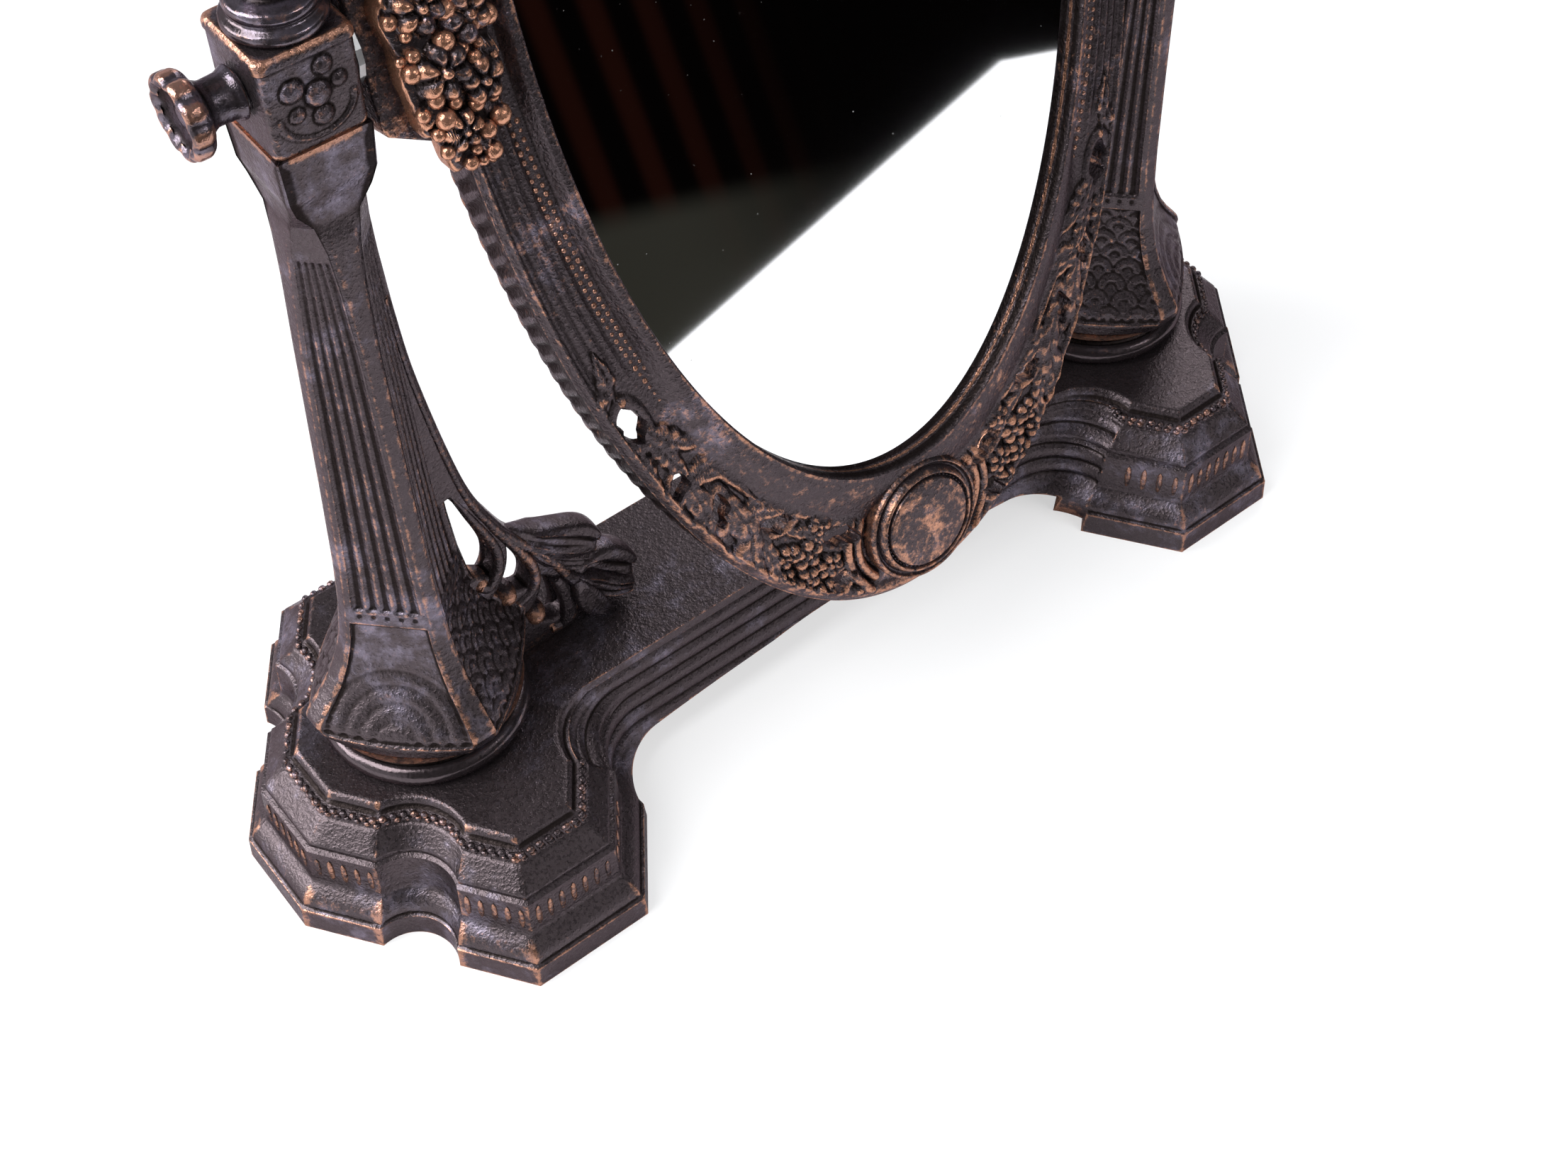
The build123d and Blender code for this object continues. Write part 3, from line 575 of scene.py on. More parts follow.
# Base: plan of the pods, as in the fitted part. A pair gives the size at the floor and at the top
POD_HALF_WIDTH, POD_HALF_DEPTH = 33.5, 40.6
POD_FRONT_HALF, POD_SIDE_HALF = 10.4, 8.4
BITE_HALF, BITE_DEPTH = (6.45, 7.1), (4.2, 2.9)
BAR_HALF = (16.8, 13.0)
FLARE_START, FLARE_RADIUS = (33.0, 19.5), (12.0, 10.3)
TOP_INSET = 11.4
ARCH_END, ARCH_MIDDLE, ARCH_REACH = 5.2, 8.8, 50.0
BASE_WALL = 3.0
BASE_ROOF = 19.5
DIAGONAL = np.arctan2(POD_HALF_DEPTH - POD_SIDE_HALF, POD_HALF_WIDTH - POD_FRONT_HALF)
# Moulding of the pods: height above the floor, inset from the plinth
POD_MOULDING = [
    (0.0, 0.0), (4.4, 0.3), (4.55, 0.65), (4.75, 0.95), (5.05, 1.0), (5.5, 1.1), (6.1, 1.4), (6.7, 1.85),
    (7.3, 2.45), (7.8, 3.1), (8.2, 3.6), (8.5, 3.85), (9.0, 3.95), (16.1, 4.3), (16.3, 4.65), (16.5, 5.1),
    (17.2, 5.1), (17.5, 5.3), (20.2, 8.1), (20.4, 8.55), (20.7, 8.8), (22.2, 9.1), (22.4, 10.0),
    (22.7, 10.4), (23.2, 10.55), (23.6, 10.8), (23.9, 11.1), (24.0, TOP_INSET),
]
REED_BOTTOM, REED_TOP = 8.9, 22.0
REED_COUNT = 4
REED_DEPTH = 0.75
# Boss under each column: radius, radius of its screw hole, lowest point
BOSS_RADIUS, BOSS_HOLE, BOSS_BOTTOM = 7.0, 2.6, 15.5


def pod_inset(height):
    """How far the pod's moulding stands back at a height."""
    heights, insets = zip(*POD_MOULDING)
    return np.interp(height, heights, insets)


def pod_corners(inset):
    """Corners of the left pod's front: between front and diagonal, diagonal and side, front and bar."""
    front = np.array((-POD_X - POD_FRONT_HALF + inset * tan(DIAGONAL / 2), -POD_HALF_DEPTH + inset))
    turn = (pi / 2 - DIAGONAL) / 2
    side = np.array((-POD_X - POD_HALF_WIDTH + inset, -POD_SIDE_HALF + inset * tan(turn)))
    return front, side, front * (-1, 1) - (2 * POD_X, 0)


def base_outline(height, shrink=0.0):
    """Front left quarter of the base at a height, and how much of the reeding each point carries."""
    inset = pod_inset(height) + shrink
    share = (inset - shrink) / TOP_INSET
    front, side, inner = pod_corners(inset)
    step = (side - front) / np.linalg.norm(side - front)
    outward = np.array((step[1], -step[0]))
    middle = (front + side) / 2
    half = between(BITE_HALF, share)
    deep = middle + outward * between(BITE_DEPTH, share)
    bar = between(BAR_HALF, height / BASE_HEIGHT) - shrink
    reach = between(FLARE_RADIUS, share) + shrink
    centre = np.array((-POD_X + between(FLARE_START, share), -bar - reach))
    along = np.array((cos(DIAGONAL), sin(DIAGONAL)))
    offset = inner - centre
    travel = -(offset @ along) - np.sqrt((offset @ along) ** 2 - offset @ offset + reach**2)
    end = inner + travel * along
    last = np.arctan2(end[1] - centre[1], end[0] - centre[0]) % (2 * pi)
    angles = np.linspace(pi / 2, last, 34)
    flare = centre + reach * np.stack([np.cos(angles), np.sin(angles)], 1)
    legs = [
        spread([(0, -bar), (centre[0], -bar)], 60)[:-1],
        flare[:-1],
        spread([end, inner], 26)[:-1],
        spread([inner, front], 26)[:-1],
        spread([front, middle - half * step], 8)[:-1],
        arc_through(middle - half * step, deep, middle + half * step, 28)[:-1],
        spread([middle + half * step, side], 8)[:-1],
        spread([side, (side[0], 0)], 12),
    ]
    weights = [np.full(len(leg), 1.0 if number < 2 else 0.0) for number, leg in enumerate(legs)]
    return np.concatenate(legs), np.concatenate(weights)


def full_outline(height, shrink=0.0):
    """The whole plan of the base at a height, and its reeding weights."""
    quarter, reeding = base_outline(height, shrink)
    back = (quarter * (1, -1))[::-1]
    left = np.concatenate([quarter, back[1:]])
    weights = np.concatenate([reeding, reeding[::-1][1:]])
    right = (left * (-1, 1))[::-1]
    return np.concatenate([left, right[1:-1]]), np.concatenate([weights, weights[::-1][1:-1]])


def outward_of(ring):
    """Unit normals of a closed plan, away from its inside."""
    along = np.roll(ring, -1, 0) - np.roll(ring, 1, 0)
    normal = np.stack([along[:, 1], -along[:, 0]], 1) / np.linalg.norm(along, axis=1)[:, None]
    area = np.sum(ring[:, 0] * np.roll(ring[:, 1], -1) - ring[:, 1] * np.roll(ring[:, 0], -1))
    return normal if area > 0 else -normal


def reed_depth(height):
    """How deep the grooves between the reeds are at a height."""
    share = (height - REED_BOTTOM) / (REED_TOP - REED_BOTTOM) * REED_COUNT
    hollow = abs(2 * (share % 1.0) - 1) ** 2.5
    edge = window(height, REED_BOTTOM, REED_TOP, 0.5)
    return float(REED_DEPTH * hollow * edge)


def level_ring(height, shrink=0.0):
    """The base's plan at a height, as points in space."""
    ring = full_outline(height, shrink)[0]
    return np.column_stack([ring, np.full(len(ring), height)])


def base_skin(heights, shrink, relief):
    """Rings of the base's skin, whose lower edge rises to the arch under the bar."""
    rings = []
    for height in heights:
        ring, weights = full_outline(height, shrink)
        if relief:
            ring = ring - outward_of(ring) * (weights * reed_depth(height))[:, None]
        rings.append(np.column_stack([ring, np.full(len(ring), height)]))
    rings = np.array(rings)
    for column in range(rings.shape[1]):
        lowest = 0.0
        for _ in range(4):
            x = np.interp(lowest, heights, rings[:, column, 0])
            rise = ARCH_MIDDLE - (ARCH_MIDDLE - ARCH_END) * (x / ARCH_REACH) ** 2
            lowest = rise if abs(x) < ARCH_REACH else 0.0
        if lowest > 0:
            x = np.interp(lowest, heights, rings[:, column, 0])
            y = np.interp(lowest, heights, rings[:, column, 1])
            rings[rings[:, column, 2] < lowest, column] = (x, y, lowest)
    return list(rings)


class MIRROR_OT_base(bpy.types.Operator):
    """Casts the base: two moulded pods and the reeded bar, hollow underneath"""

    bl_idname = "mirror.base"
    bl_label = "Base"

    def execute(self, context):
        moulding = [height for height, _ in POD_MOULDING]
        plinth = np.linspace(0.3, 4.4, 9)
        reeds = np.linspace(REED_BOTTOM - 0.6, REED_TOP + 0.3, 64)
        heights = np.unique(np.concatenate([moulding, plinth, reeds]).round(3))
        outer = base_skin(heights, 0.0, True)
        top = [level_ring(BASE_HEIGHT, shrink) for shrink in (0.5, 1.3)]
        inner = base_skin([0.0, 5.0, 10.0, BASE_ROOF - 1, BASE_ROOF], BASE_WALL, False)
        rings = [level_ring(BASE_ROOF, BASE_WALL + 1), *inner[::-1], *outer, *top]
        points, faces = tube_of_rings(rings, False, False)
        columns = len(outer[0])
        faces.append(tuple(range(columns)))
        faces.append(tuple(len(points) - columns + n for n in range(columns)))
        boss, boss_faces = lathe([
            (BOSS_HOLE, BASE_ROOF + 0.2), (BOSS_RADIUS, BASE_ROOF + 0.2), (BOSS_RADIUS, BOSS_BOTTOM + 0.4),
            (BOSS_RADIUS - 0.4, BOSS_BOTTOM), (BOSS_HOLE, BOSS_BOTTOM),
        ], 40)
        bosses = [(boss + (side * COLUMN_X, 0, 0), boss_faces) for side, _ in SIDES]
        points, faces = joined([(points, faces), *bosses])
        mesh_piece(
            "base_casting", points, faces, "stand", "cast_patina", ["base"], sharp=40,
        )
        return {"FINISHED"}


def row_tree():
    """Geometry Nodes: rounded studs in a row along a path."""
    name = "studs_along_a_path"
    if name in bpy.data.node_groups:
        return bpy.data.node_groups[name]
    tree = bpy.data.node_groups.new(name, "GeometryNodeTree")
    inputs = {
        "Path": "Geometry", "Spacing": "Float", "Stud size": "Vector", "Facing": "Vector",
        "Unevenness": "Float", "Seed": "Int", "Finish": "Material",
    }
    for label, kind in inputs.items():
        tree.interface.new_socket(label, in_out="INPUT", socket_type=f"NodeSocket{kind}")
    tree.interface.new_socket("Studs", in_out="OUTPUT", socket_type="NodeSocketGeometry")

    def node(kind, **settings):
        made = tree.nodes.new(kind)
        for key, value in settings.items():
            setattr(made, key, value)
        return made

    def link(start, end):
        tree.links.new(start, end)

    given = node("NodeGroupInput")
    result = node("NodeGroupOutput")
    even = node("GeometryNodeResampleCurve", mode="LENGTH")
    link(given.outputs["Path"], even.inputs["Curve"])
    link(given.outputs["Spacing"], even.inputs["Length"])
    cube = node("GeometryNodeMeshCube")
    cube.inputs["Size"].default_value = (1.35, 1.35, 1.35)
    soft = node("GeometryNodeSubdivisionSurface")
    soft.inputs["Level"].default_value = 1
    link(cube.outputs["Mesh"], soft.inputs["Mesh"])
    tangent = node("GeometryNodeInputTangent")
    upright = node("FunctionNodeAlignRotationToVector", axis="Z")
    link(given.outputs["Facing"], upright.inputs["Vector"])
    turned = node("FunctionNodeAlignRotationToVector", axis="X", pivot_axis="Z")
    link(upright.outputs["Rotation"], turned.inputs["Rotation"])
    link(tangent.outputs["Tangent"], turned.inputs["Vector"])
    uneven = node("FunctionNodeRandomValue", data_type="FLOAT")
    link(given.outputs["Seed"], uneven.inputs["Seed"])
    low = node("ShaderNodeMath", operation="SUBTRACT")
    low.inputs[0].default_value = 1.0
    link(given.outputs["Unevenness"], low.inputs[1])
    link(low.outputs[0], uneven.inputs[2])
    uneven.inputs[3].default_value = 1.0
    size = node("ShaderNodeVectorMath", operation="SCALE")
    link(given.outputs["Stud size"], size.inputs[0])
    link(uneven.outputs[1], size.inputs["Scale"])
    place = node("GeometryNodeInstanceOnPoints")
    link(even.outputs["Curve"], place.inputs["Points"])
    link(soft.outputs["Mesh"], place.inputs["Instance"])
    link(turned.outputs["Rotation"], place.inputs["Rotation"])
    link(size.outputs[0], place.inputs["Scale"])
    real = node("GeometryNodeRealizeInstances")
    link(place.outputs["Instances"], real.inputs["Geometry"])
    dressed = node("GeometryNodeSetMaterial")
    link(real.outputs["Geometry"], dressed.inputs["Geometry"])
    link(given.outputs["Finish"], dressed.inputs["Material"])
    link(dressed.outputs["Geometry"], result.inputs["Studs"])
    return tree


def path_curve(name, paths, closed):
    """A curve object with one straight-run spline for each path, in millimetres."""
    curve = bpy.data.curves.new(name, "CURVE")
    curve.dimensions = "3D"
    for path in paths:
        spline = curve.splines.new("POLY")
        spline.points.add(len(path) - 1)
        for point, place in zip(spline.points, np.asarray(path) * MM):
            point.co = (*place, 1.0)
        spline.use_cyclic_u = closed
    return linked(name, curve)


def run_tree(carrier, tree, values):
    """The mesh that a Geometry Nodes tree makes of an object, which is then removed."""
    modifier = carrier.modifiers.new("nodes", "NODES")
    modifier.node_group = tree
    for item in tree.interface.items_tree:
        if item.item_type == "SOCKET" and item.in_out == "INPUT" and item.name in values:
            modifier[item.identifier] = values[item.name]
    return final_mesh(carrier)


def stud_row(
    name, paths, size, spacing, facing, body, material, closed=True, uneven=0.1, seed=1, worn=0.3
):
    """A piece of studs along paths: size is along the path, across it and out, in millimetres."""
    values = {
        "Spacing": spacing * MM,
        "Stud size": tuple(value * MM for value in size),
        "Facing": tuple(facing),
        "Unevenness": uneven,
        "Seed": seed,
        "Finish": finish(material),
    }
    mesh = run_tree(path_curve(name + "_path", paths, closed), row_tree(), values)
    return dress(mesh, name, body, material, sharp=60, worn=worn)


# Rows of beads on the pods: heights, size of a bead along, across and out, spacing
BEAD_HEIGHTS = (21.15, 22.0)
BEAD_SIZE, BEAD_SPACING = (1.3, 1.15, 1.0), 1.62
# Bars of the frieze: height of their middles, size of a bar along, out and up, spacing
FRIEZE_HEIGHT = 12.2
BAR_SIZE, BAR_SPACING = (1.0, 0.6, 4.9), 2.1
# How far a run of bars keeps from the ends of a face, and how far it goes along the inner diagonal
FACE_TRIM, DIAGONAL_TRIM, INNER_TRIM, INNER_RUN = 1.8, 1.3, (1.6, 2.0), 12.0


def bead_paths():
    """The rows of beads: round each pod at each height, from the bar and back to it."""
    rows = []
    for height in BEAD_HEIGHTS:
        ring = level_ring(height)
        weights = full_outline(height)[1]
        for side, _ in SIDES:
            pod = ring[(weights < 0.5) & (ring[:, 0] * side > 0)]
            if side > 0:
                start = np.argmax(np.linalg.norm(np.diff(pod, axis=0), axis=1)) + 1
                pod = np.roll(pod, -start, 0)
            rows.append(pod)
    return rows


def frieze_paths():
    """The runs of bars on the faces of the pods' frieze."""
    inset = pod_inset(FRIEZE_HEIGHT)
    front, side, inner = pod_corners(inset)
    length = np.linalg.norm(side - front)
    flat = (length - 2 * between(BITE_HALF, inset / TOP_INSET)) / 2
    inward = np.array((cos(DIAGONAL), sin(DIAGONAL)))
    runs = [
        (front, inner, FACE_TRIM, FACE_TRIM),
        (side, side * (1, -1), FACE_TRIM, FACE_TRIM),
        (front, front + (side - front) * flat / length, DIAGONAL_TRIM, DIAGONAL_TRIM),
        (side, side + (front - side) * flat / length, DIAGONAL_TRIM, DIAGONAL_TRIM),
        (inner, inner + inward * INNER_RUN, *INNER_TRIM),
    ]
    paths = []
    for start, end, trim, trim_end in runs:
        step = (end - start) / np.linalg.norm(end - start)
        line = [start + step * trim, end - step * trim_end]
        for across in (-1, 1):
            for deep in (-1, 1):
                paths.append([(x * -across, y * deep, FRIEZE_HEIGHT) for x, y in line])
    return paths


class MIRROR_OT_base_ornament(bpy.types.Operator):
    """Adds the rows of beads and the frieze bars of the pods"""

    bl_idname = "mirror.base_ornament"
    bl_label = "Base ornament"

    def execute(self, context):
        stud_row(
            "base_beads", bead_paths(), BEAD_SIZE, BEAD_SPACING, (0, 0, 1), "stand",
            "bead_patina", closed=False, uneven=0.15, worn=0.38,
        )
        stud_row(
            "frieze_bars", frieze_paths(), BAR_SIZE, BAR_SPACING, (0, 0, 1), "stand",
            "cast_patina", closed=False, uneven=0.12, worn=0.75,
        )
        return {"FINISHED"}


# Column: height above the floor, half width over the strips, half strip, bulge of the sides
COLUMN_LEVELS = np.array([
    (31.0, 16.3, 1.9, 2.3), (31.5, 17.3, 1.95, 2.0), (33.4, 18.4, 2.0, 1.4), (35.2, 18.7, 2.05, 1.0),
    (36.1, 18.4, 2.0, 0.8), (37.4, 17.4, 1.9, 0.55), (39.8, 15.4, 1.8, 0.35), (42.5, 13.5, 1.7, 0.2),
    (45.8, 11.9, 1.6, 0.1), (50.0, 10.5, 1.5, 0.0), (56.8, 9.5, 1.4, 0.0), (65.0, 8.8, 1.4, 0.0),
    (79.9, 8.0, 1.4, 0.0), (107.1, 6.7, 1.45, 0.0), (118.0, 6.0, 1.8, 0.0), (125.0, 5.6, 2.3, 0.0),
    (129.5, 5.3, 3.2, 0.0), (132.5, 5.6, 5.2, 0.0), (135.0, 6.2, 5.9, 0.0), (141.6, 6.5, 6.3, 0.0),
])
# Flutes of the shaft: how many, their ends, the share of the side outside them, their depths
FLUTES = 5
FLUTE_BOTTOM, FLUTE_TOP = 57.0, 123.0
FLUTE_MARGIN = 0.06
FLUTE_SINK, FLUTE_DEPTH, PIT_DEPTH = 0.18, 0.42, 0.22
# Sunk panel of the foot, with scales on two sides and arcs on the other two
PANEL_BOTTOM, PANEL_DEPTH = 34.4, 0.55
SCALE_PITCH, SCALE_HEIGHT = 2.5, 0.12
ARC_PITCH, ARC_HEIGHT = 2.1, 0.11
STRIP_STEPS, SIDE_STEPS = 9, 56
STRIP_CROWN = 0.35


def column_relief(share, height, width, scaled):
    """How far the relief on a side of the column stands out: share runs across the side."""
    across = (share - 0.5) * width
    lane = (share - FLUTE_MARGIN) / (1 - 2 * FLUTE_MARGIN)
    inside = (lane > 0) & (lane < 1)
    wave = (0.5 - 0.5 * np.cos(lane * FLUTES * 2 * pi)) ** 0.8 * inside
    room = min(1.0, width / 9)
    fluted = inside * room * window(height, FLUTE_BOTTOM, FLUTE_TOP, 0.6)
    out = -(FLUTE_SINK + FLUTE_DEPTH * wave) * fluted
    out = out - PIT_DEPTH * wave**2 * bump_at(height, FLUTE_BOTTOM - 1.5, 0.55)
    edge = np.minimum(share, 1 - share) * width
    panel = soft_step(edge, 0.15, 0.55) * window(height, PANEL_BOTTOM, FLUTE_BOTTOM - 3.4, 0.45)
    out = out - PANEL_DEPTH * panel
    if not scaled:
        ring = np.hypot(across * 0.9, (height - (PANEL_BOTTOM - 0.6)) * 0.85)
        return out + ARC_HEIGHT * np.cos(ring * 2 * pi / ARC_PITCH) * panel * window(ring, 2.6, 9.8, 0.8)
    row = (height - PANEL_BOTTOM) / SCALE_PITCH
    for shift in (0, 1):
        reach = np.hypot((across / SCALE_PITCH + shift) % 2.0 - 1, (row - shift) % 2.0)
        out = out + SCALE_HEIGHT * np.cos(reach * 2 * pi * 1.5) * (reach < 1.25) * panel
    return out


def quarter_turn(number):
    """The matrix that turns points of a plan by a number of quarter turns."""
    c, s = round(cos(number * pi / 2)), round(sin(number * pi / 2))
    return np.array(((c, s), (-s, c)))


def column_rings(heights):
    """Rings of the column about its own axis."""
    rings = []
    strip_share = np.linspace(-1, 1, STRIP_STEPS)
    side_share = np.linspace(0, 1, SIDE_STEPS + 2)[1:-1]
    for height in heights:
        half, strip, bulge = (np.interp(height, COLUMN_LEVELS[:, 0], COLUMN_LEVELS[:, n]) for n in (1, 2, 3))
        proud = STRIP_CROWN * (1 - np.abs(strip_share) ** 6) * window(height, 36.0, 126.0, 3.0)
        strip_points = np.stack([half + proud - 0.12, strip * strip_share], 1)
        width = (half - strip) * np.sqrt(2)
        start, end = np.array((half, strip)), np.array((strip, half))
        ring = []
        for turn in range(4):
            relief = column_relief(side_share, height, width, turn % 2 == 1)
            out = bulge * 4 * side_share * (1 - side_share) + relief
            side = start + (end - start) * side_share[:, None] + out[:, None] * np.array((1, 1)) / np.sqrt(2)
            ring.append(np.concatenate([strip_points, side]) @ quarter_turn(turn))
        ring = np.concatenate(ring)
        rings.append(np.column_stack([ring, np.full(len(ring), height)]))
    return rings


# Pivot block: bosses on its front and back faces (across, up, radius), border and corners
BLOCK_BOSSES = (
    (0.4, 0.2, 1.7), (-2.7, 1.9, 1.5), (1.6, 3.6, 1.2), (0.6, -2.9, 1.3), (-2.6, -1.6, 1.0), (3.3, 0.9, 1.0),
)
BOSS_RISE, SWAG_RISE = 0.62, 0.28
BORDER_WIDTH, BORDER_RISE = 1.6, 0.25
BLOCK_CORNER, BLOCK_STEPS = 0.9, 52


def block_bosses(across, up):
    """Relief of round bosses and a hanging swag on a face of the pivot block."""
    out = np.zeros(across.shape)
    for place, rise, reach in BLOCK_BOSSES:
        out = np.maximum(out, BOSS_RISE * berry_stamp(across, up, (place, rise), reach, reach))
    swag = np.hypot(across, (up + 1.6) * 1.25)
    return np.maximum(out, SWAG_RISE * bump_at(swag, 4.9, 0.45) * (up < -1.2))


def block_rings():
    """Rings of the pivot block, with its borders and bosses."""
    half, corner = BLOCK_HALF_WIDTH - 0.35, BLOCK_CORNER
    low, high = PIVOT.z - BLOCK_HALF_HEIGHT, PIVOT.z + BLOCK_HALF_HEIGHT
    rings = []
    # Heights, and how far the faces stand out there
    levels = [(low, -0.35), (low + 0.35, -0.1), (low + 0.8, 0.0)]
    levels += [(height, 0.0) for height in np.linspace(low + 1.1, high - 1.1, 58)]
    levels += [(high - 0.8, 0.0), (high - 0.3, -0.15), (high, -0.5), (high, -1.1), (high, -1.8), (high, -3.0)]
    for height, pull in levels:
        up = height - PIVOT.z
        inset = half + pull - corner
        across = np.linspace(-1, 1, BLOCK_STEPS) * inset
        border = BORDER_RISE * window(up, BLOCK_HALF_HEIGHT - BORDER_WIDTH, BLOCK_HALF_HEIGHT, 0.2)
        ring = []
        for turn in range(4):
            out = np.full(BLOCK_STEPS, border)
            if turn % 2:
                out = out + block_bosses(across, np.full(BLOCK_STEPS, up))
            ring.append(np.stack([half + pull + out, across], 1) @ quarter_turn(turn))
            bend = np.linspace(0, pi / 2, 6)[1:-1] + turn * pi / 2
            middle = np.array((inset, inset)) @ quarter_turn(turn)
            ring.append(middle + (corner + border) * np.stack([np.cos(bend), np.sin(bend)], 1))
        ring = np.concatenate(ring)
        rings.append(np.column_stack([ring, np.full(len(ring), height)]))
    return rings


class MIRROR_OT_columns(bpy.types.Operator):
    """Makes the two fluted columns with their flared feet and pivot blocks"""

    bl_idname = "mirror.columns"
    bl_label = "Columns"

    def execute(self, context):
        heights = np.unique(np.concatenate([
            np.linspace(31.0, 57.5, 92), np.linspace(57.5, 109.5, 60), np.linspace(109.5, 141.6, 76),
            COLUMN_LEVELS[:, 0],
        ]).round(3))
        skin = joined([tube_of_rings(column_rings(heights)), tube_of_rings(block_rings())])
        for side, name in SIDES:
            points = skin[0] * (-side, 1, 1) + (side * COLUMN_X, 0, 0)
            mesh_piece(
                f"fluted_column_{name}", points, skin[1], "stand", "cast_patina",
                [f"column_{name}"], sharp=38,
            )
        return {"FINISHED"}


# Foot collar: radius over its bead, bulge and half height of the bead, radius of the hole
COLLAR_RADIUS, BEAD_BULGE, BEAD_HALF, COLLAR_HOLE = 16.6, 1.9, 2.0, 2.9


class MIRROR_OT_collars(bpy.types.Operator):
    """Turns the round collar under each column"""

    bl_idname = "mirror.collars"
    bl_label = "Foot collars"

    def execute(self, context):
        bead = [
            (COLLAR_RADIUS - BEAD_BULGE * (1 - cos(turn)), BASE_HEIGHT + BEAD_HALF * (1 + sin(turn)))
            for turn in np.linspace(-pi / 2, pi / 2, 14)
        ]
        waist = [(14.4, 28.3), (14.5, 28.8), (15.2, 29.6), (15.9, 30.2)]
        ends = [(COLLAR_HOLE, BASE_HEIGHT)], [(16.0, FOOT_HEIGHT), (COLLAR_HOLE, FOOT_HEIGHT)]
        points, faces = lathe([*ends[0], *bead, *waist, *ends[1]], 120)
        for side, name in SIDES:
            mesh_piece(
                f"round_collar_{name}", points + (side * COLUMN_X, 0, 0), faces, "stand",
                "polished_patina", [f"foot_collar_{name}"],
            )
        return {"FINISHED"}


def filled_outline(name, loops, half_thickness, bevel):
    """Points and faces of a flat plate with rounded edges from closed loops, the first one outside."""
    thing = path_curve(name, [np.column_stack([loop, np.zeros(len(loop))]) for loop in loops], True)
    curve = thing.data
    curve.dimensions = "2D"
    curve.fill_mode = "BOTH"
    curve.extrude = (half_thickness - bevel) * MM
    curve.bevel_depth = bevel * MM
    curve.bevel_resolution = 3
    curve.offset = -bevel * MM
    mesh = final_mesh(thing)
    points = np.array([tuple(vertex.co) for vertex in mesh.vertices]) / MM
    faces = [tuple(face.vertices) for face in mesh.polygons]
    bpy.data.meshes.remove(mesh)
    return points, faces


# Scroll bracket: distances from the column's axis, heights above the base
BRACKET_THICKNESS = 4.6
ARM_TIP = (6.5, 86.8)
ARM_OUTER = [(8.1, 69.5), (12.3, 45.6), (16.5, 33.8), (20.8, 26.0)]
LEAF_ROOT = (26.0, 21.0)
LEAF_HEEL, LEAF_FOOT = (30.4, 7.0), (27.2, 0.15)
BRACKET_SEAT = 0.1
# Strands over the bracket's faces, their radii from end to end, and the berries at their ends
STRANDS = [
    [(9.4, 45.0), (12.8, 36.0), (15.3, 28.4), (15.2, 23.6), (13.2, 20.8), (11.6, 21.8)],
    [(10.8, 47.0), (14.8, 34.6), (18.8, 25.6), (21.2, 19.0), (20.6, 14.6), (17.6, 12.9)],
    [(11.6, 45.0), (16.0, 32.6), (21.4, 23.4), (26.2, 14.8), (27.8, 7.4), (26.4, 2.6), (22.8, 2.4)],
]
STRAND_RADII, EDGE_RADII = (0.2, 0.75, 0.95, 1.0, 0.95), (0.35, 0.7, 0.8)
BRACKET_BERRIES = (((12.0, 22.0), 1.75), ((16.2, 15.4), 2.0), ((20.6, 7.4), 2.1), ((23.0, 3.0), 1.5))
# Petals of the leaf: spine, width, thickness, dish, peak; the last two stand on both sides
MIDDLE_PETALS = [
    ([(18.0, 29.4), (21.8, 25.2), (26.0, 21.6), (30.0, 18.8), (33.2, 16.2)], 7.0, 6.4, 0.4, 1.7),
    ([(19.6, 26.4), (23.4, 19.8), (27.4, 15.6), (31.0, 13.4), (34.4, 11.6)], 4.0, 5.6, 0.15, 1.3),
    ([(27.6, 13.6), (31.4, 11.0), (35.2, 8.2), (39.6, 5.2)], 9.0, 7.4, 0.55, 1.2),
    ([(26.0, 14.0), (30.4, 9.2), (34.4, 5.2), (38.8, 3.0)], 5.0, 9.0, 0.2, 1.2),
]
SIDE_PETALS = [
    (([(27.6, 12.6), (28.6, 8.8), (30.4, 4.6), (32.6, 1.6)], 4.4, 2.8, 0.3, 1.2), 3.4),
    (([(24.6, 14.0), (26.2, 9.6), (26.4, 5.0), (24.6, 1.6)], 3.0, 2.4, 0.1, 0.9), 1.8),
]
PETAL_STEPS, PETAL_SIDES = 30, 40


def arc_loop(*arcs):
    """A closed outline of arcs, each from a start, through a middle, with its number of points."""
    starts = [arc[0] for arc in arcs]
    made = []
    for (start, middle, count), end in zip(arcs, starts[1:] + starts[:1]):
        made.append(arc_through(start, middle, end, count)[:-1])
    return np.concatenate(made)


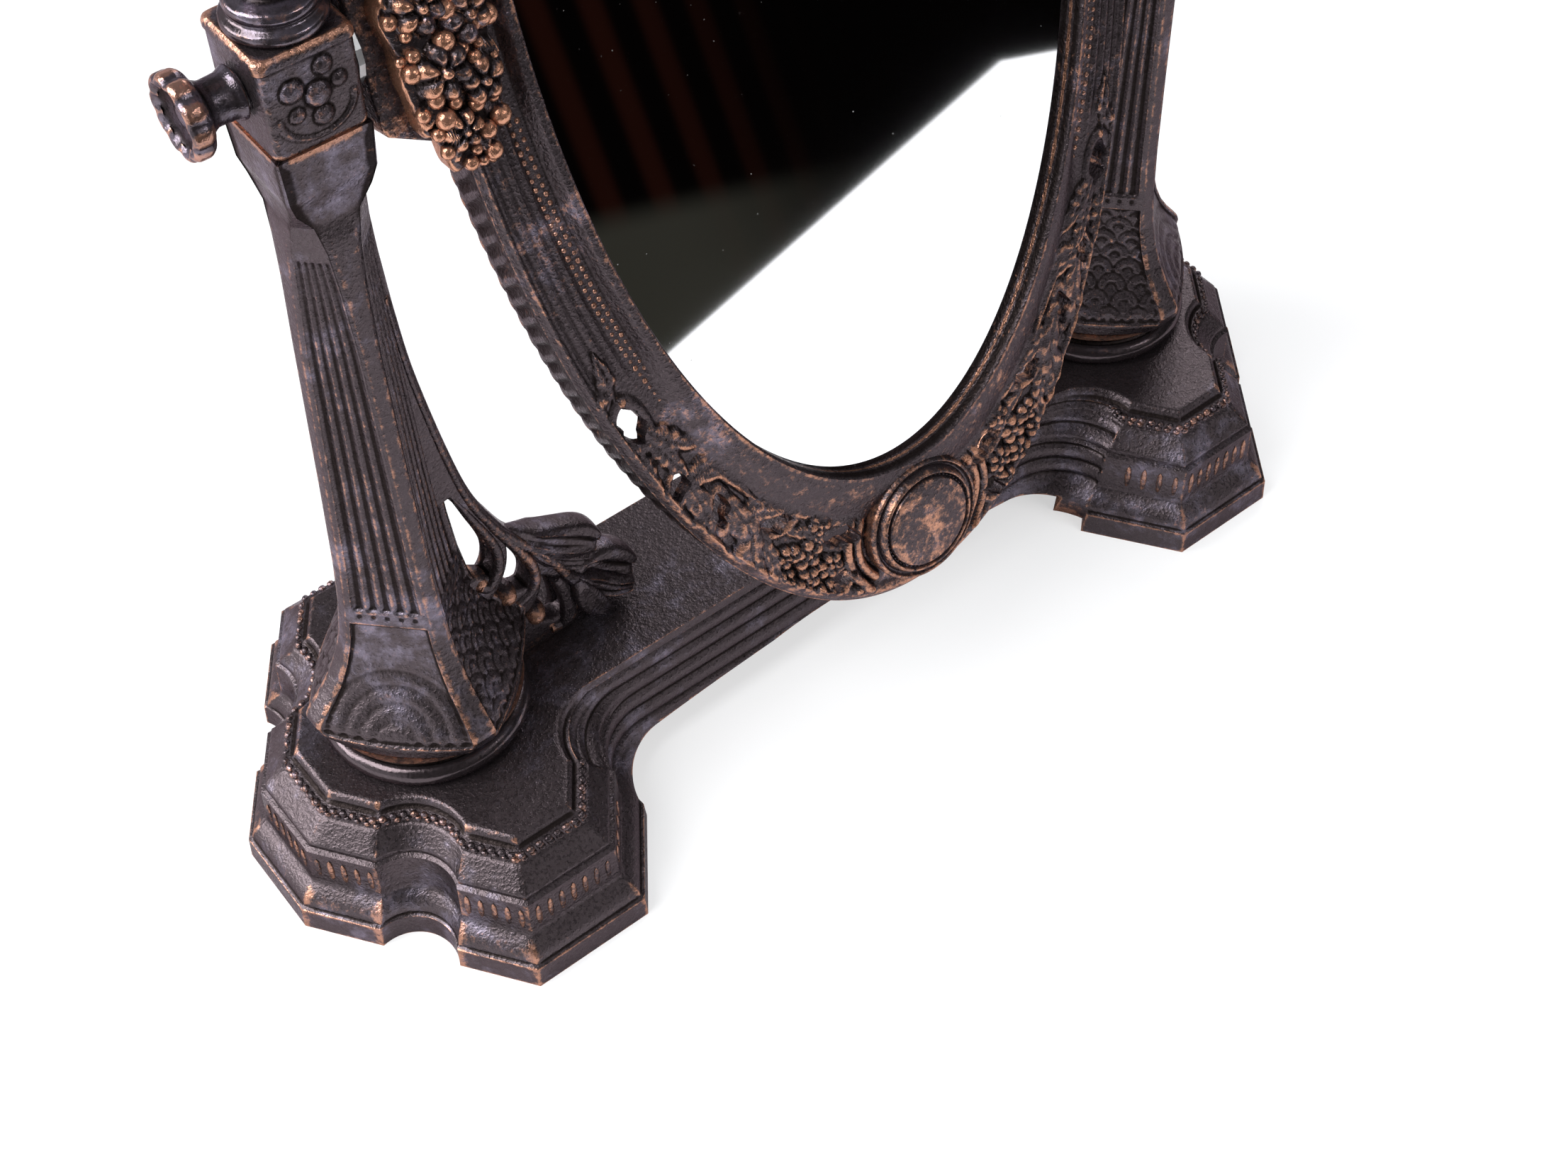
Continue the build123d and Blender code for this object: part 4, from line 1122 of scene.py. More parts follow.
def bracket_loops():
    """Outline of the scroll bracket and its openings, from the column's axis and the base's top."""
    arm = smooth_line([ARM_TIP, *ARM_OUTER, LEAF_ROOT], 60)
    leaf = arc_through(LEAF_ROOT, (31.0, 15.6), LEAF_HEEL, 20)[1:]
    foot = arc_through(LEAF_HEEL, (29.4, 2.6), LEAF_FOOT, 8)[1:]
    outline = np.concatenate([arm, leaf, foot, [(4.0, LEAF_FOOT[1]), (4.0, ARM_TIP[1])]])
    upper = np.concatenate([
        smooth_line([(9.2, 43.8), (11.7, 38.4), (14.2, 31.0), (15.2, 25.8), (14.0, 22.4)], 30),
        [(11.6, 24.2), (8.0, 24.2), (8.0, 43.6)],
    ])
    middle = arc_loop(
        ((17.4, 27.0), (20.2, 21.4), 12), ((19.6, 15.4), (15.6, 16.4), 12), ((11.4, 15.8), (15.6, 20.0), 12),
    )
    lower = arc_loop(
        ((22.2, 16.2), (25.4, 11.8), 12), ((26.0, 6.2), (25.4, 4.6), 8), ((24.0, 4.2), (20.6, 6.4), 8),
        ((18.6, 9.0), (21.4, 11.6), 12),
    )
    return outline, upper, middle, lower


def rod(points, radii, side, sides=10):
    """A round strand along points (x, height) of a plane beside the bracket's middle."""
    points = np.asarray(points, float)
    radii = np.interp(np.linspace(0, 1, len(points)), np.linspace(0, 1, len(radii)), radii)
    along = np.gradient(points, axis=0)
    along /= np.linalg.norm(along, axis=1)[:, None]
    rings = []
    for place, step, radius in zip(points, along, radii):
        normal = np.array((-step[1], step[0]))
        ring = []
        for turn in turn_points(sides):
            reach = place + normal * radius * cos(turn)
            ring.append((reach[0], radius * sin(turn) + side, reach[1]))
        rings.append(np.array(ring))
    return tube_of_rings(rings)


def ball(centre, radius, sides=14, squash=(1, 1, 1)):
    """A ball, as points and faces."""
    angles = turn_points(sides)
    rings = []
    for rise in np.linspace(-pi / 2 + 0.2, pi / 2 - 0.2, 8):
        out = cos(rise)
        ring = np.stack([np.cos(angles) * out, np.sin(angles) * out, np.full(sides, sin(rise))], 1)
        rings.append(np.array(centre) + ring * radius * np.array(squash))
    return tube_of_rings(rings)


def petal(spine, width, thickness, dish, peak, side=0.0):
    """A fleshy petal with hollowed faces, along (x, height) points beside the bracket's middle.

    dish is how hollow its faces are, and a higher peak brings its widest place nearer the tip.
    """
    spine = smooth_line(spine, PETAL_STEPS)
    along = np.gradient(spine, axis=0)
    along /= np.linalg.norm(along, axis=1)[:, None]
    share = np.linspace(0, 1, PETAL_STEPS)
    half = width / 2 * np.sin(pi * (0.07 + 0.88 * share) ** peak) ** 0.6
    turns = turn_points(PETAL_SIDES)
    aside, face = np.cos(turns), np.sign(np.sin(turns)) * np.abs(np.sin(turns)) ** 0.7
    rings = []
    for place, step, reach, number in zip(spine, along, half, share):
        normal = np.array((-step[1], step[0]))
        flesh = thickness / 2 * min(1.0, reach / (0.3 * width))
        hollow = dish * np.exp(-(((aside - 0.1) / 0.5) ** 2)) + 0.05 * np.cos(aside * 14 + number * 4)
        flat = place + normal * (aside * reach)[:, None]
        depth = side + flesh * face * (1 - hollow * min(1.0, 3 * number))
        rings.append(np.column_stack([flat[:, 0], depth, flat[:, 1]]))
    return tube_of_rings(rings)


def curled_leaf():
    """The leaf at the end of the bracket: four petals in the middle and two on each side."""
    parts = [petal(*shape) for shape in MIDDLE_PETALS]
    for side, _ in SIDES:
        parts += [petal(*shape, side * apart) for shape, apart in SIDE_PETALS]
    return joined(parts)


class MIRROR_OT_brackets(bpy.types.Operator):
    """Makes the pierced scroll bracket beside each column, with its curled leaf"""

    bl_idname = "mirror.brackets"
    bl_label = "Scroll brackets"

    def execute(self, context):
        half = BRACKET_THICKNESS / 2
        plate, plate_faces = filled_outline("bracket_plate", bracket_loops(), half - 0.35, 0.8)
        parts = [(plate[:, [0, 2, 1]], plate_faces)]
        edge = smooth_line([ARM_TIP, *ARM_OUTER, LEAF_ROOT], 60) + (-0.9, -0.7)
        for side, _ in SIDES:
            parts.append(rod(edge, EDGE_RADII, side * (half - 0.55)))
            for strand in STRANDS:
                parts.append(rod(smooth_line(strand, 40), STRAND_RADII, side * (half - 0.6)))
        for (place, rise), radius in BRACKET_BERRIES:
            parts.append(ball((place, 0, rise), radius, squash=(1, 1.45, 1)))
        parts.append(curled_leaf())
        points, faces = joined(parts)
        points[:, 2] = np.maximum(points[:, 2], BRACKET_SEAT)
        for side, name in SIDES:
            placed = points * (-side, 1, 1) + (side * COLUMN_X, 0, BASE_HEIGHT)
            mesh_piece(
                f"scrollwork_{name}", placed, faces, "stand", "cast_patina",
                [f"scroll_bracket_{name}"], sharp=45, worn=0.6,
            )
        return {"FINISHED"}


# Finial above its block, and knob out from its block: radius, distance
FINIAL_PROFILE = [
    (0, 0), (5.7, 0), (6.3, 0.7), (6.2, 1.6), (5.4, 2.1), (5.2, 2.5), (5.6, 3.1), (5.4, 4.0), (3.3, 4.8),
    (3.2, 6.2), (4.3, 6.6), (4.2, 7.2), (5.7, 8.8), (7.0, 12.6), (6.4, 15.8), (4.2, 17.6), (4.8, 19.4),
    (2.6, 22.0), (0.8, 26.6), (0, 27.2),
]
KNOB_PROFILE = [
    (0, 0.0), (3.4, 0.0), (3.3, 0.5), (2.9, 1.2), (2.8, 3.6), (3.4, 4.6), (4.9, 5.2), (5.5, 6.0), (5.5, 7.6),
    (4.9, 8.2), (4.1, 7.7), (3.4, 7.1), (1.6, 6.8), (1.0, 7.1), (0, 7.2),
]
GADROONS, GADROON_DEPTH = 14, 0.35
SCALLOPS, SCALLOP_DEPTH = 10, 0.42
KNOB_GAP = 0.05


class MIRROR_OT_finials(bpy.types.Operator):
    """Turns the urn finials on their rings"""

    bl_idname = "mirror.finials"
    bl_label = "Finials"

    def execute(self, context):

        def gadroons(angles, radius, height):
            groove = np.abs(np.sin(angles * GADROONS / 2)) ** 3
            return -GADROON_DEPTH * groove * window(height, 8.0, 15.2, 1.0) * (radius > 1)

        points, faces = lathe(rounded(FINIAL_PROFILE, 0.9, 5), 112, gadroons)
        top = PIVOT.z + BLOCK_HALF_HEIGHT
        for side, name in SIDES:
            mesh_piece(
                f"urn_finial_{name}", points + (side * COLUMN_X, 0, top), faces, "stand",
                "polished_patina", [f"finial_{name}"],
            )
        return {"FINISHED"}


class MIRROR_OT_thumbscrews(bpy.types.Operator):
    """Turns the dished, scalloped knobs of the thumbscrews"""

    bl_idname = "mirror.thumbscrews"
    bl_label = "Thumbscrews"

    def execute(self, context):

        def scallops(angles, radius, height):
            notch = np.abs(np.sin(angles * SCALLOPS / 2)) ** 4
            return -SCALLOP_DEPTH * notch * (radius > 4) * window(height, 5.4, 8.2, 0.5)

        points, faces = lathe(rounded(KNOB_PROFILE, 0.35, 4), 110, scallops)
        turned = points[:, [2, 0, 1]]
        seat = COLUMN_X + BLOCK_HALF_WIDTH + KNOB_GAP
        for side, name in SIDES:
            placed = turned * (side, 1, 1) + (side * seat, PIVOT.y, PIVOT.z)
            mesh_piece(
                f"scalloped_knob_{name}", placed, faces, f"thumbscrew_{name}", "knob_patina",
                [f"thumb_knob_{name}"], sharp=50,
            )
        return {"FINISHED"}


# Mirror frame: half sizes of its ovals, and depths out of the pivot line
SIGHT = np.array((45.0, 94.0))
OUTER = np.array((55.5, 119.0))
RIM_WIDTH, RIM_EDGE = 2.4, 1.2
FRAME_BACK, FRAME_EDGE, FIELD, RIM_FRONT, GLASS_FRONT = -4.2, 3.6, 5.0, 7.3, 4.9
PLATE_FRONT, REBATE_GROW, PLATE_GROW = 1.9, 2.8, 6.5
ROPE_TURNS = 168
FRAME_TURNS = 1040
ENDS = ((-1, "lower"), (1, "upper"))
# Openings: side distance, drop, length, width, slope in degrees
OPENINGS = [
    (43.2, 64.5, 7.6, 3.5, 73.0), (38.5, 77.6, 5.2, 2.7, 97.0), (33.2, 85.2, 6.8, 2.7, 94.0),
    (24.7, 92.6, 6.0, 3.2, 15.0), (14.4, 101.1, 7.4, 3.5, 26.0), (15.2, 109.6, 5.0, 3.2, -27.0),
]
# Hollow behind the pierced ends: its front, and how far it keeps from the seat of the plate and the edge
HOLLOW_FRONT, HOLLOW_INNER, HOLLOW_OUTER = 3.0, 7.3, 1.6
# Lugs on the pivot line: half heights at their roots and at their ends
LUG_ROOT, LUG_ROOT_HALF = 52.0, 18.0
LUG_END, LUG_END_HALF = COLUMN_X - BLOCK_HALF_WIDTH - 0.9, 11.4
LUG_HALF_THICKNESS, LUG_EDGE, LUG_DEPTH = 3.9, 0.5, -0.3
# Beads beside the glass: how far outside the rim, how deep, how near the pivot line and how far from it
BEAD_LINES, BEAD_SINK = (1.0, 2.1), 0.15
BEADS_FROM, BEADS_TO = 16, 72
MEDALLION_DROP = 105.7
MEDALLION_REACH = 10.3
MEDALLION_RUB = 0.17


def leaf_stamp(across, up, root, slope, length, width, height):
    """Relief of a leaf with a sunk midrib, from its root along a slope in degrees."""
    turn = radians(slope)
    along = ((across - root[0]) * cos(turn) + (up - root[1]) * sin(turn)) / length
    aside = (up - root[1]) * cos(turn) - (across - root[0]) * sin(turn)
    inside = (along > 0) & (along < 1)
    safe = np.clip(along, 0.001, 0.999)
    half = width / 2 * np.sin(pi * safe**0.75) ** 0.7 * (1 + 0.12 * np.cos(safe * 26))
    share = np.abs(aside) / np.maximum(half, 0.01)
    body = np.sqrt(np.clip(1 - share**2, 0, None)) * (0.55 + 0.45 * safe)
    rib = 0.3 * np.exp(-((aside / 0.32) ** 2)) + 0.1 * np.cos((safe - share * 0.3) * 34)
    return np.where(inside & (share < 1), height * np.clip(body - rib * body, 0, None), 0.0)


def off_line(across, up, line):
    """How far places lie from a line of points, and how far along it, from 0 to 1."""
    nearest = np.full(across.shape, np.inf)
    along = np.zeros(across.shape)
    for number, (start, end) in enumerate(zip(line, line[1:])):
        run = end - start
        share = np.clip(((across - start[0]) * run[0] + (up - start[1]) * run[1]) / (run @ run), 0, 1)
        apart = np.hypot(across - start[0] - share * run[0], up - start[1] - share * run[1])
        along = np.where(apart < nearest, (number + share) / (len(line) - 1), along)
        nearest = np.minimum(nearest, apart)
    return nearest, along


def blade_stamp(across, up, spine, width, height):
    """Relief of a fleshy leaf along a curved spine, with a sunk midrib and side veins."""
    nearest, along = off_line(across, up, smooth_line(spine, 20))
    lobes = 1 + 0.14 * np.cos(along * 24)
    half = width / 2 * np.sin(pi * (0.1 + 0.86 * along) ** 0.9) ** 0.7 * lobes
    aside = nearest / half
    swell = np.sqrt(np.clip(1 - aside**3, 0, None)) * (0.6 + 0.4 * along)
    veins = 0.24 * np.exp(-((nearest / 0.3) ** 2)) + 0.09 * np.cos((along * 5.5 - aside * 0.5) * 2 * pi)
    return height * swell * (1 - veins)


def flower_stamp(across, up, middle, reach, height, petals, turn):
    """Relief of an open flower: round petals about a boss."""
    x, y = across - middle[0], up - middle[1]
    radius, angle = np.hypot(x, y), np.arctan2(y, x) + turn
    edge = reach * (0.72 + 0.28 * np.abs(np.cos(angle * petals / 2)) ** 0.8)
    share = radius / edge
    petal = np.clip(1 - share**4, 0, None) ** 0.5 * (0.55 + 0.45 * np.abs(np.cos(angle * petals / 2)))
    cup = 1 - 0.55 * np.exp(-((radius / (0.34 * reach)) ** 2))
    boss = np.sqrt(np.clip(1 - (radius / (0.27 * reach)) ** 2, 0, None))
    return height * np.maximum(petal * cup, boss * 1.05)


def berry_stamp(across, up, middle, reach, height):
    """Relief of a round berry."""
    radius = np.hypot(across - middle[0], up - middle[1]) / reach
    return height * np.sqrt(np.clip(1 - radius**2, 0, None))


def ridge_stamp(across, up, line, reach, height):
    """A rounded ridge along a line of points."""
    nearest, _ = off_line(across, up, line)
    return height * np.sqrt(np.clip(1 - (nearest / reach) ** 2, 0, None))


# Leaves of the pierced ends: points of the spine (side, drop), width, height
FRAME_BLADES = [
    ([(41.2, 66.4), (38.2, 69.6), (33.6, 72.6)], 3.4, 1.2),
    ([(41.0, 68.6), (39.2, 72.0), (37.2, 76.0)], 3.2, 1.1),
    ([(43.4, 69.2), (42.8, 73.0), (41.4, 77.6)], 3.2, 1.1),
    ([(37.2, 76.2), (32.0, 76.6), (26.4, 82.0)], 2.8, 0.9),
    ([(39.8, 81.0), (36.0, 78.2), (31.6, 79.2), (27.6, 86.0)], 2.6, 1.0),
    ([(37.2, 77.6), (35.8, 83.0), (36.0, 89.0), (33.4, 95.0)], 3.8, 1.3),
    ([(31.6, 84.4), (29.6, 90.6), (30.0, 96.4), (28.4, 101.6)], 4.8, 1.5),
    ([(30.6, 87.2), (27.2, 89.0), (23.2, 91.0)], 3.2, 1.0),
    ([(28.2, 86.6), (22.6, 91.4), (16.8, 95.4)], 2.8, 0.9),
    ([(39.2, 84.2), (38.0, 89.0), (34.6, 94.8)], 2.8, 0.9),
    ([(28.6, 93.6), (26.8, 97.6), (26.4, 103.2)], 3.2, 1.1),
    ([(46.8, 60.6), (45.4, 56.2), (46.0, 51.8)], 2.6, 0.8),
    ([(24.4, 84.0), (19.6, 88.6), (13.4, 93.4)], 2.4, 0.6),
    ([(22.6, 95.6), (19.4, 97.6), (17.6, 100.4)], 2.6, 1.0),
]
# Flowers: middle, reach, petals. Berries: middle, reach
FRAME_FLOWERS = [
    ((20.6, 101.0), 2.9, 5), ((24.0, 99.4), 2.2, 5), ((17.2, 105.2), 2.6, 6), ((21.4, 105.6), 2.5, 5),
    ((25.2, 103.2), 2.0, 5), ((17.6, 96.8), 2.2, 5), ((18.6, 109.6), 1.9, 5),
]
FRAME_BERRIES = [
    ((17.8, 99.4), 0.8), ((22.6, 98.8), 0.9), ((23.2, 100.4), 0.7), ((17.6, 108.6), 0.9),
    ((23.4, 108.6), 0.8), ((16.6, 111.4), 0.9), ((13.2, 107.0), 0.8), ((12.8, 99.0), 0.8),
    ((11.6, 97.4), 0.7), ((28.4, 103.6), 0.8), ((46.4, 58.6), 0.9), ((44.0, 60.2), 0.8),
    ((46.8, 72.8), 0.8), ((12.6, 113.4), 0.8), ((9.8, 96.4), 0.6),
]
# Two ridges beside each medallion
FRAME_RIDGES = [
    [(6.7, 96.2), (9.2, 98.6), (11.2, 102.0), (12.0, 105.7), (11.2, 109.4), (9.4, 112.4)],
    [(8.6, 95.6), (11.6, 98.8), (13.2, 102.6), (13.7, 105.9), (13.0, 110.0), (10.6, 114.4)],
]
RIDGE_REACH, RIDGE_HEIGHT = 0.85, 1.2
FLOWER_HEIGHT, BERRY_RISE, LIP_HEIGHT = 1.5, 1.15, 0.5
FIELD_LINES, FIELD_LINE_DEPTH = 7, 0.16


def opening_lip(side, drop):
    """Relief of the rounded lips of the openings."""
    lip = np.zeros(side.shape)
    for middle, fall, length, width, slope in OPENINGS:
        turn = radians(slope)
        along = ((side - middle) * cos(turn) + (drop - fall) * -sin(turn)) / (length / 2)
        aside = ((drop - fall) * cos(turn) + (side - middle) * sin(turn)) / (width / 2)
        reach = np.hypot(along * 0.88, aside * 0.76)
        lip = np.maximum(lip, bump_at(reach, 1.0, 0.3) * LIP_HEIGHT)
    return lip


def frame_relief(across, up, share):
    """How far the ornament stands out of the frame's field, share of the way from the rim to the edge."""
    side, drop = np.abs(across), np.abs(up)
    out = opening_lip(side, drop)
    for spine, width, height in FRAME_BLADES:
        out = np.maximum(out, blade_stamp(side, drop, spine, width, height))
    for middle, reach, petals in FRAME_FLOWERS:
        out = np.maximum(out, flower_stamp(side, drop, middle, reach, FLOWER_HEIGHT, petals, middle[0]))
    for middle, reach in FRAME_BERRIES:
        out = np.maximum(out, berry_stamp(side, drop, middle, reach, reach * BERRY_RISE))
    for line in FRAME_RIDGES:
        out = np.maximum(out, ridge_stamp(side, drop, smooth_line(line, 14), RIDGE_REACH, RIDGE_HEIGHT))
    low = soft_step(drop, 52.0, 62.0)
    edge = soft_step(share, 0.14 + 0.12 * low, 0.26 + 0.12 * low) * (1 - soft_step(share, 0.88, 0.95))
    lines = FIELD_LINE_DEPTH * np.cos(share * 2 * pi * FIELD_LINES) * (1 - low)
    return out * edge + lines * window(share, 0.36, 0.84, 0.05)


def frame_turns(count):
    """Turns round the oval, spread half by angle and half by length, and the share of the length at each."""
    angles = np.linspace(0, 2 * pi, 4 * count + 1)
    steps = np.hypot(OUTER[0] * np.sin(angles[1:]), OUTER[1] * np.cos(angles[1:]))
    reach = np.concatenate([[0], np.cumsum(steps)]) / steps.sum()
    spread_by = 0.5 * reach + 0.5 * angles / (2 * pi)
    turns = np.interp(np.linspace(0, 1, count, endpoint=False), spread_by, angles)
    return turns, np.interp(turns, angles, reach)


# The frame's section: the rim as growth of the sight and depth, the outer wall's depths, its rope cuts
RIM_SECTION = [(0.0, GLASS_FRONT + 0.05), (0.0, 5.8), (0.0, 6.8), (0.12, 7.1), (0.4, RIM_FRONT), (0.8, 7.25)]
WALL_DEPTHS = (2.8, 1.6, 0.4, -1.0, -2.4, -3.7)
ROPE_DEPTH = 0.7
FIELD_ROWS = 58


def frame_rings(count):
    """The frame's skin: for each turn round the oval, a closed section."""
    turns, lap = frame_turns(count)
    c, s = np.cos(turns), np.sin(turns)
    pierced = soft_step(np.abs(OUTER[1] * s), 64.0, 72.0) * soft_step(np.abs(OUTER[0] * c), 3.0, 6.0)
    hollow = FRAME_BACK + (HOLLOW_FRONT - FRAME_BACK) * pierced
    columns = []

    def ring(sizes, depth, inwards=0.0):
        columns.append(oval_point((sizes[0] - inwards) * c, (sizes[1] - inwards) * s, depth))

    for grow, depth in RIM_SECTION:
        ring(SIGHT + grow, depth)
    inner = SIGHT + RIM_EDGE
    for share in np.linspace(0.0, 1.0, FIELD_ROWS):
        sizes = inner + (OUTER - inner) * share
        across, up = sizes[0] * c, sizes[1] * s
        band = 0.15 + 0.27 * soft_step(np.abs(up), 52.0, 70.0)
        slope = 2.1 * (1 - soft_step(share, 0.0, band))
        base = FIELD - 0.5 * soft_step(share, 0.5, 0.9) - 0.9 * soft_step(share, 0.93, 1.0)
        bead = 0.5 * bump_at(share, 0.93, 0.06)
        ring(sizes, base + bead + slope + frame_relief(across, up, np.full(count, share)))
    ring(OUTER - 0.1, 3.3)
    for depth in WALL_DEPTHS:
        rope = 1 - np.abs(np.sin(lap * ROPE_TURNS * pi + depth * 0.5))
        ring(OUTER, depth, ROPE_DEPTH * rope * bump_at(depth, -0.4, 3.8))
    for sizes, depth in (
        (OUTER - 0.5, FRAME_BACK), (OUTER - HOLLOW_OUTER + 0.1, FRAME_BACK), (OUTER - HOLLOW_OUTER, hollow),
        (SIGHT + HOLLOW_INNER, hollow), (SIGHT + HOLLOW_INNER - 0.1, FRAME_BACK),
        (SIGHT + PLATE_GROW, FRAME_BACK), (SIGHT + PLATE_GROW, PLATE_FRONT),
        (SIGHT + REBATE_GROW, PLATE_FRONT), (SIGHT + REBATE_GROW, GLASS_FRONT + 0.05),
    ):
        ring(sizes, depth)
    return np.array(columns)


def frame_rub_and_shade(points):
    """More wear on the front of the pierced ends, and painted shade on the walls inside and outside, by taking
    from their wear.
    """
    place = points - PIVOT_POINT
    across, up, out = place @ ACROSS, place @ UP_OVAL, place @ OUT_OVAL
    ends = soft_step(np.abs(up), 58.0, 84.0)
    beyond = np.hypot(across / OUTER[0], up / OUTER[1])
    within = np.hypot(across / (SIGHT[0] + 0.2), up / (SIGHT[1] + 0.2))
    wall = soft_step(beyond, 0.985, 0.992) * (1 - soft_step(out, 2.9, 3.4))
    inner = 1 - soft_step(within, 1.0, 1.004)
    front = soft_step(out, 3.4, 4.2) * (1 - inner)
    # Less wear on the walls pushes them into the sunk range, which the finish paints as shade
    return 0.15 * ends * front - 0.34 * wall - 0.34 * inner


# Cuts through the frame: how deep they reach, and the gap and the bore of a medallion's pocket
CUT_BACK, CUT_FRONT = FRAME_BACK - 1, RIM_FRONT + 3
POCKET_GAP, BORE_SHARE = 0.05, 0.3


def prism(x, y, back, front):
    """A prism over an outline on the frame, between two depths."""
    return tube_of_rings([oval_point(x, y, back), oval_point(x, y, front)])


def opening_cutter():
    """Prisms for the openings, pointed and slightly uneven, and for the pockets of the medallions."""
    parts = []
    for middle, drop, length, width, slope in OPENINGS:
        half = length / 2
        top = arc_through((-half, 0), (0, width / 2), (half, 0), 11)
        under = arc_through((half, 0), (0, -width / 2), (-half, 0), 11)
        along, aside = np.concatenate([top[:-1], under[:-1]]).T
        aside = aside * (1 + 0.2 * np.sin(along * 2.1 + middle)) + 0.25 * np.sin(along * 1.3 + drop)
        for across, up in ((1, -1), (-1, -1), (1, 1), (-1, 1)):
            turn = radians(-slope * across * up)
            x = along * cos(turn) - aside * sin(turn) + middle * across
            y = along * sin(turn) + aside * cos(turn) + drop * up
            parts.append(prism(x, y, CUT_BACK, CUT_FRONT))
    angles = turn_points(64)
    reach = MEDALLION_REACH + POCKET_GAP
    x, y = reach * np.cos(angles), reach * np.sin(angles)
    for up, _ in ENDS:
        drop = up * MEDALLION_DROP
        parts.append(prism(x, y + drop, FIELD, CUT_FRONT))
        parts.append(prism(x * BORE_SHARE, y * BORE_SHARE + drop, CUT_BACK, FIELD + 1))
    return joined(parts)


def cut_out(points, faces, tool_points, tool_faces, name):
    """The mesh of the first shape less the second."""
    body = linked(f"{name}_body", welded_mesh(f"{name}_body", points, faces, CUT_WELD))
    tool = linked(f"{name}_tool", welded_mesh(f"{name}_tool", tool_points, tool_faces, CUT_WELD))
    cut = body.modifiers.new("cut", "BOOLEAN")
    cut.operation = "DIFFERENCE"
    cut.solver = "MANIFOLD"
    cut.object = tool
    made = final_mesh(body)
    bpy.data.objects.remove(tool)
    if len(made.polygons) < 0.5 * len(faces):
        raise RuntimeError(f"the cut of {name} failed: {len(made.polygons)} faces of {len(faces)} are left")
    return made


class MIRROR_OT_frame(bpy.types.Operator):
    """Casts the oval frame: rim, ornamented field, pierced openings and lugs"""

    bl_idname = "mirror.frame"
    bl_label = "Mirror frame"

    def execute(self, context):
        columns = frame_rings(FRAME_TURNS)
        count, turns = columns.shape[:2]
        points = columns.transpose(1, 0, 2).reshape(-1, 3)
        faces = []
        for turn in range(turns):
            here, beside = turn * count, (turn + 1) % turns * count
            for number in range(count):
                after = (number + 1) % count
                faces.append((here + number, beside + number, beside + after, here + after))
        mesh = cut_out(points, faces, *opening_cutter(), "frame")
        dress(
            mesh, "pierced_frame", "mirror", "frame_patina", ["mirror_frame"], sharp=42,
            rub_and_shade=frame_rub_and_shade,
        )

        outline = [
            (LUG_ROOT, -LUG_ROOT_HALF), (LUG_END, -LUG_END_HALF), (LUG_END, LUG_END_HALF),
            (LUG_ROOT, LUG_ROOT_HALF), (LUG_ROOT, -LUG_ROOT_HALF),
        ]
        plate, plate_faces = filled_outline("lug", [spread(outline, 60)[:-1]], LUG_HALF_THICKNESS, LUG_EDGE)
        lugs = []
        for side, _ in SIDES:
            placed = oval_point(plate[:, 0] * side, plate[:, 1], plate[:, 2] + LUG_DEPTH)
            lugs.append((placed, plate_faces))
        points, faces = joined(lugs)
        mesh_piece("frame_lugs", points, faces, "mirror", "frame_patina")

        angles = turn_points(720)
        paths = []
        for grow in BEAD_LINES:
            sizes = SIGHT + RIM_WIDTH + grow
            path = oval_point(sizes[0] * np.cos(angles), sizes[1] * np.sin(angles), FIELD - BEAD_SINK)
            paths += side_parts(path)
        stud_row(
            "frame_beads", paths, (0.95, 0.85, 0.8), 1.35, OUT_OVAL, "mirror",
            "bead_patina", closed=False, uneven=0.35, seed=4, worn=0.7,
        )
        return {"FINISHED"}


def side_parts(path):
    """The parts of an oval path beside the glass, between the clusters and the pierced ends."""
    rise = (path - PIVOT_POINT) @ UP_OVAL
    made = []
    for side, _ in SIDES:
        for end, _ in ENDS:
            part = path[(path[:, 0] * side > 0) & (rise * end > BEADS_FROM) & (rise * end < BEADS_TO)]
            order = np.argsort((part - PIVOT_POINT) @ UP_OVAL)
            made.append(part[order])
    return made


# Medallion: radius, depth
MEDALLION_PROFILE = [
    (2.9, FRAME_BACK), (2.9, FIELD + 0.1), (MEDALLION_REACH, FIELD + 0.1), (MEDALLION_REACH, 6.9),
    (10.0, 7.45), (9.7, 7.5), (9.45, 7.0), (9.1, 6.85), (8.85, 7.5), (8.5, 8.2), (8.15, 8.3), (7.85, 7.6),
    (7.6, 7.6), (7.45, 8.25), (7.3, 8.45), (4.0, 8.6), (0, 8.65),
]
DOT_RING, DOT_DEPTH = 7.72, 7.72


def medallion_rub(points):
    """A little more wear all over."""
    return np.full(len(points), MEDALLION_RUB)


class MIRROR_OT_medallions(bpy.types.Operator):
    """Turns the two medallions: rings, dotted groove and disc"""

    bl_idname = "mirror.medallions"
    bl_label = "Medallions"

    def execute(self, context):
        profile = [(0, FRAME_BACK), *rounded(MEDALLION_PROFILE, 0.14, 3)]
        points, faces = lathe(profile, 120)
        angles = turn_points(180)
        for up, name in ENDS:
            drop = up * MEDALLION_DROP
            placed = oval_point(points[:, 0], points[:, 1] + drop, points[:, 2])
            mesh_piece(
                f"ringed_medallion_{name}", placed, faces, "mirror", "medallion_copper",
                [f"medallion_{name}"], sharp=50, rub_and_shade=medallion_rub,
            )
            path = oval_point(DOT_RING * np.cos(angles), DOT_RING * np.sin(angles) + drop, DOT_DEPTH)
            stud_row(
                f"medallion_dots_{name}", [path], (0.55, 0.36, 0.36), 0.85, OUT_OVAL, "mirror",
                "bead_patina", uneven=0.2, seed=7,
            )
        return {"FINISHED"}


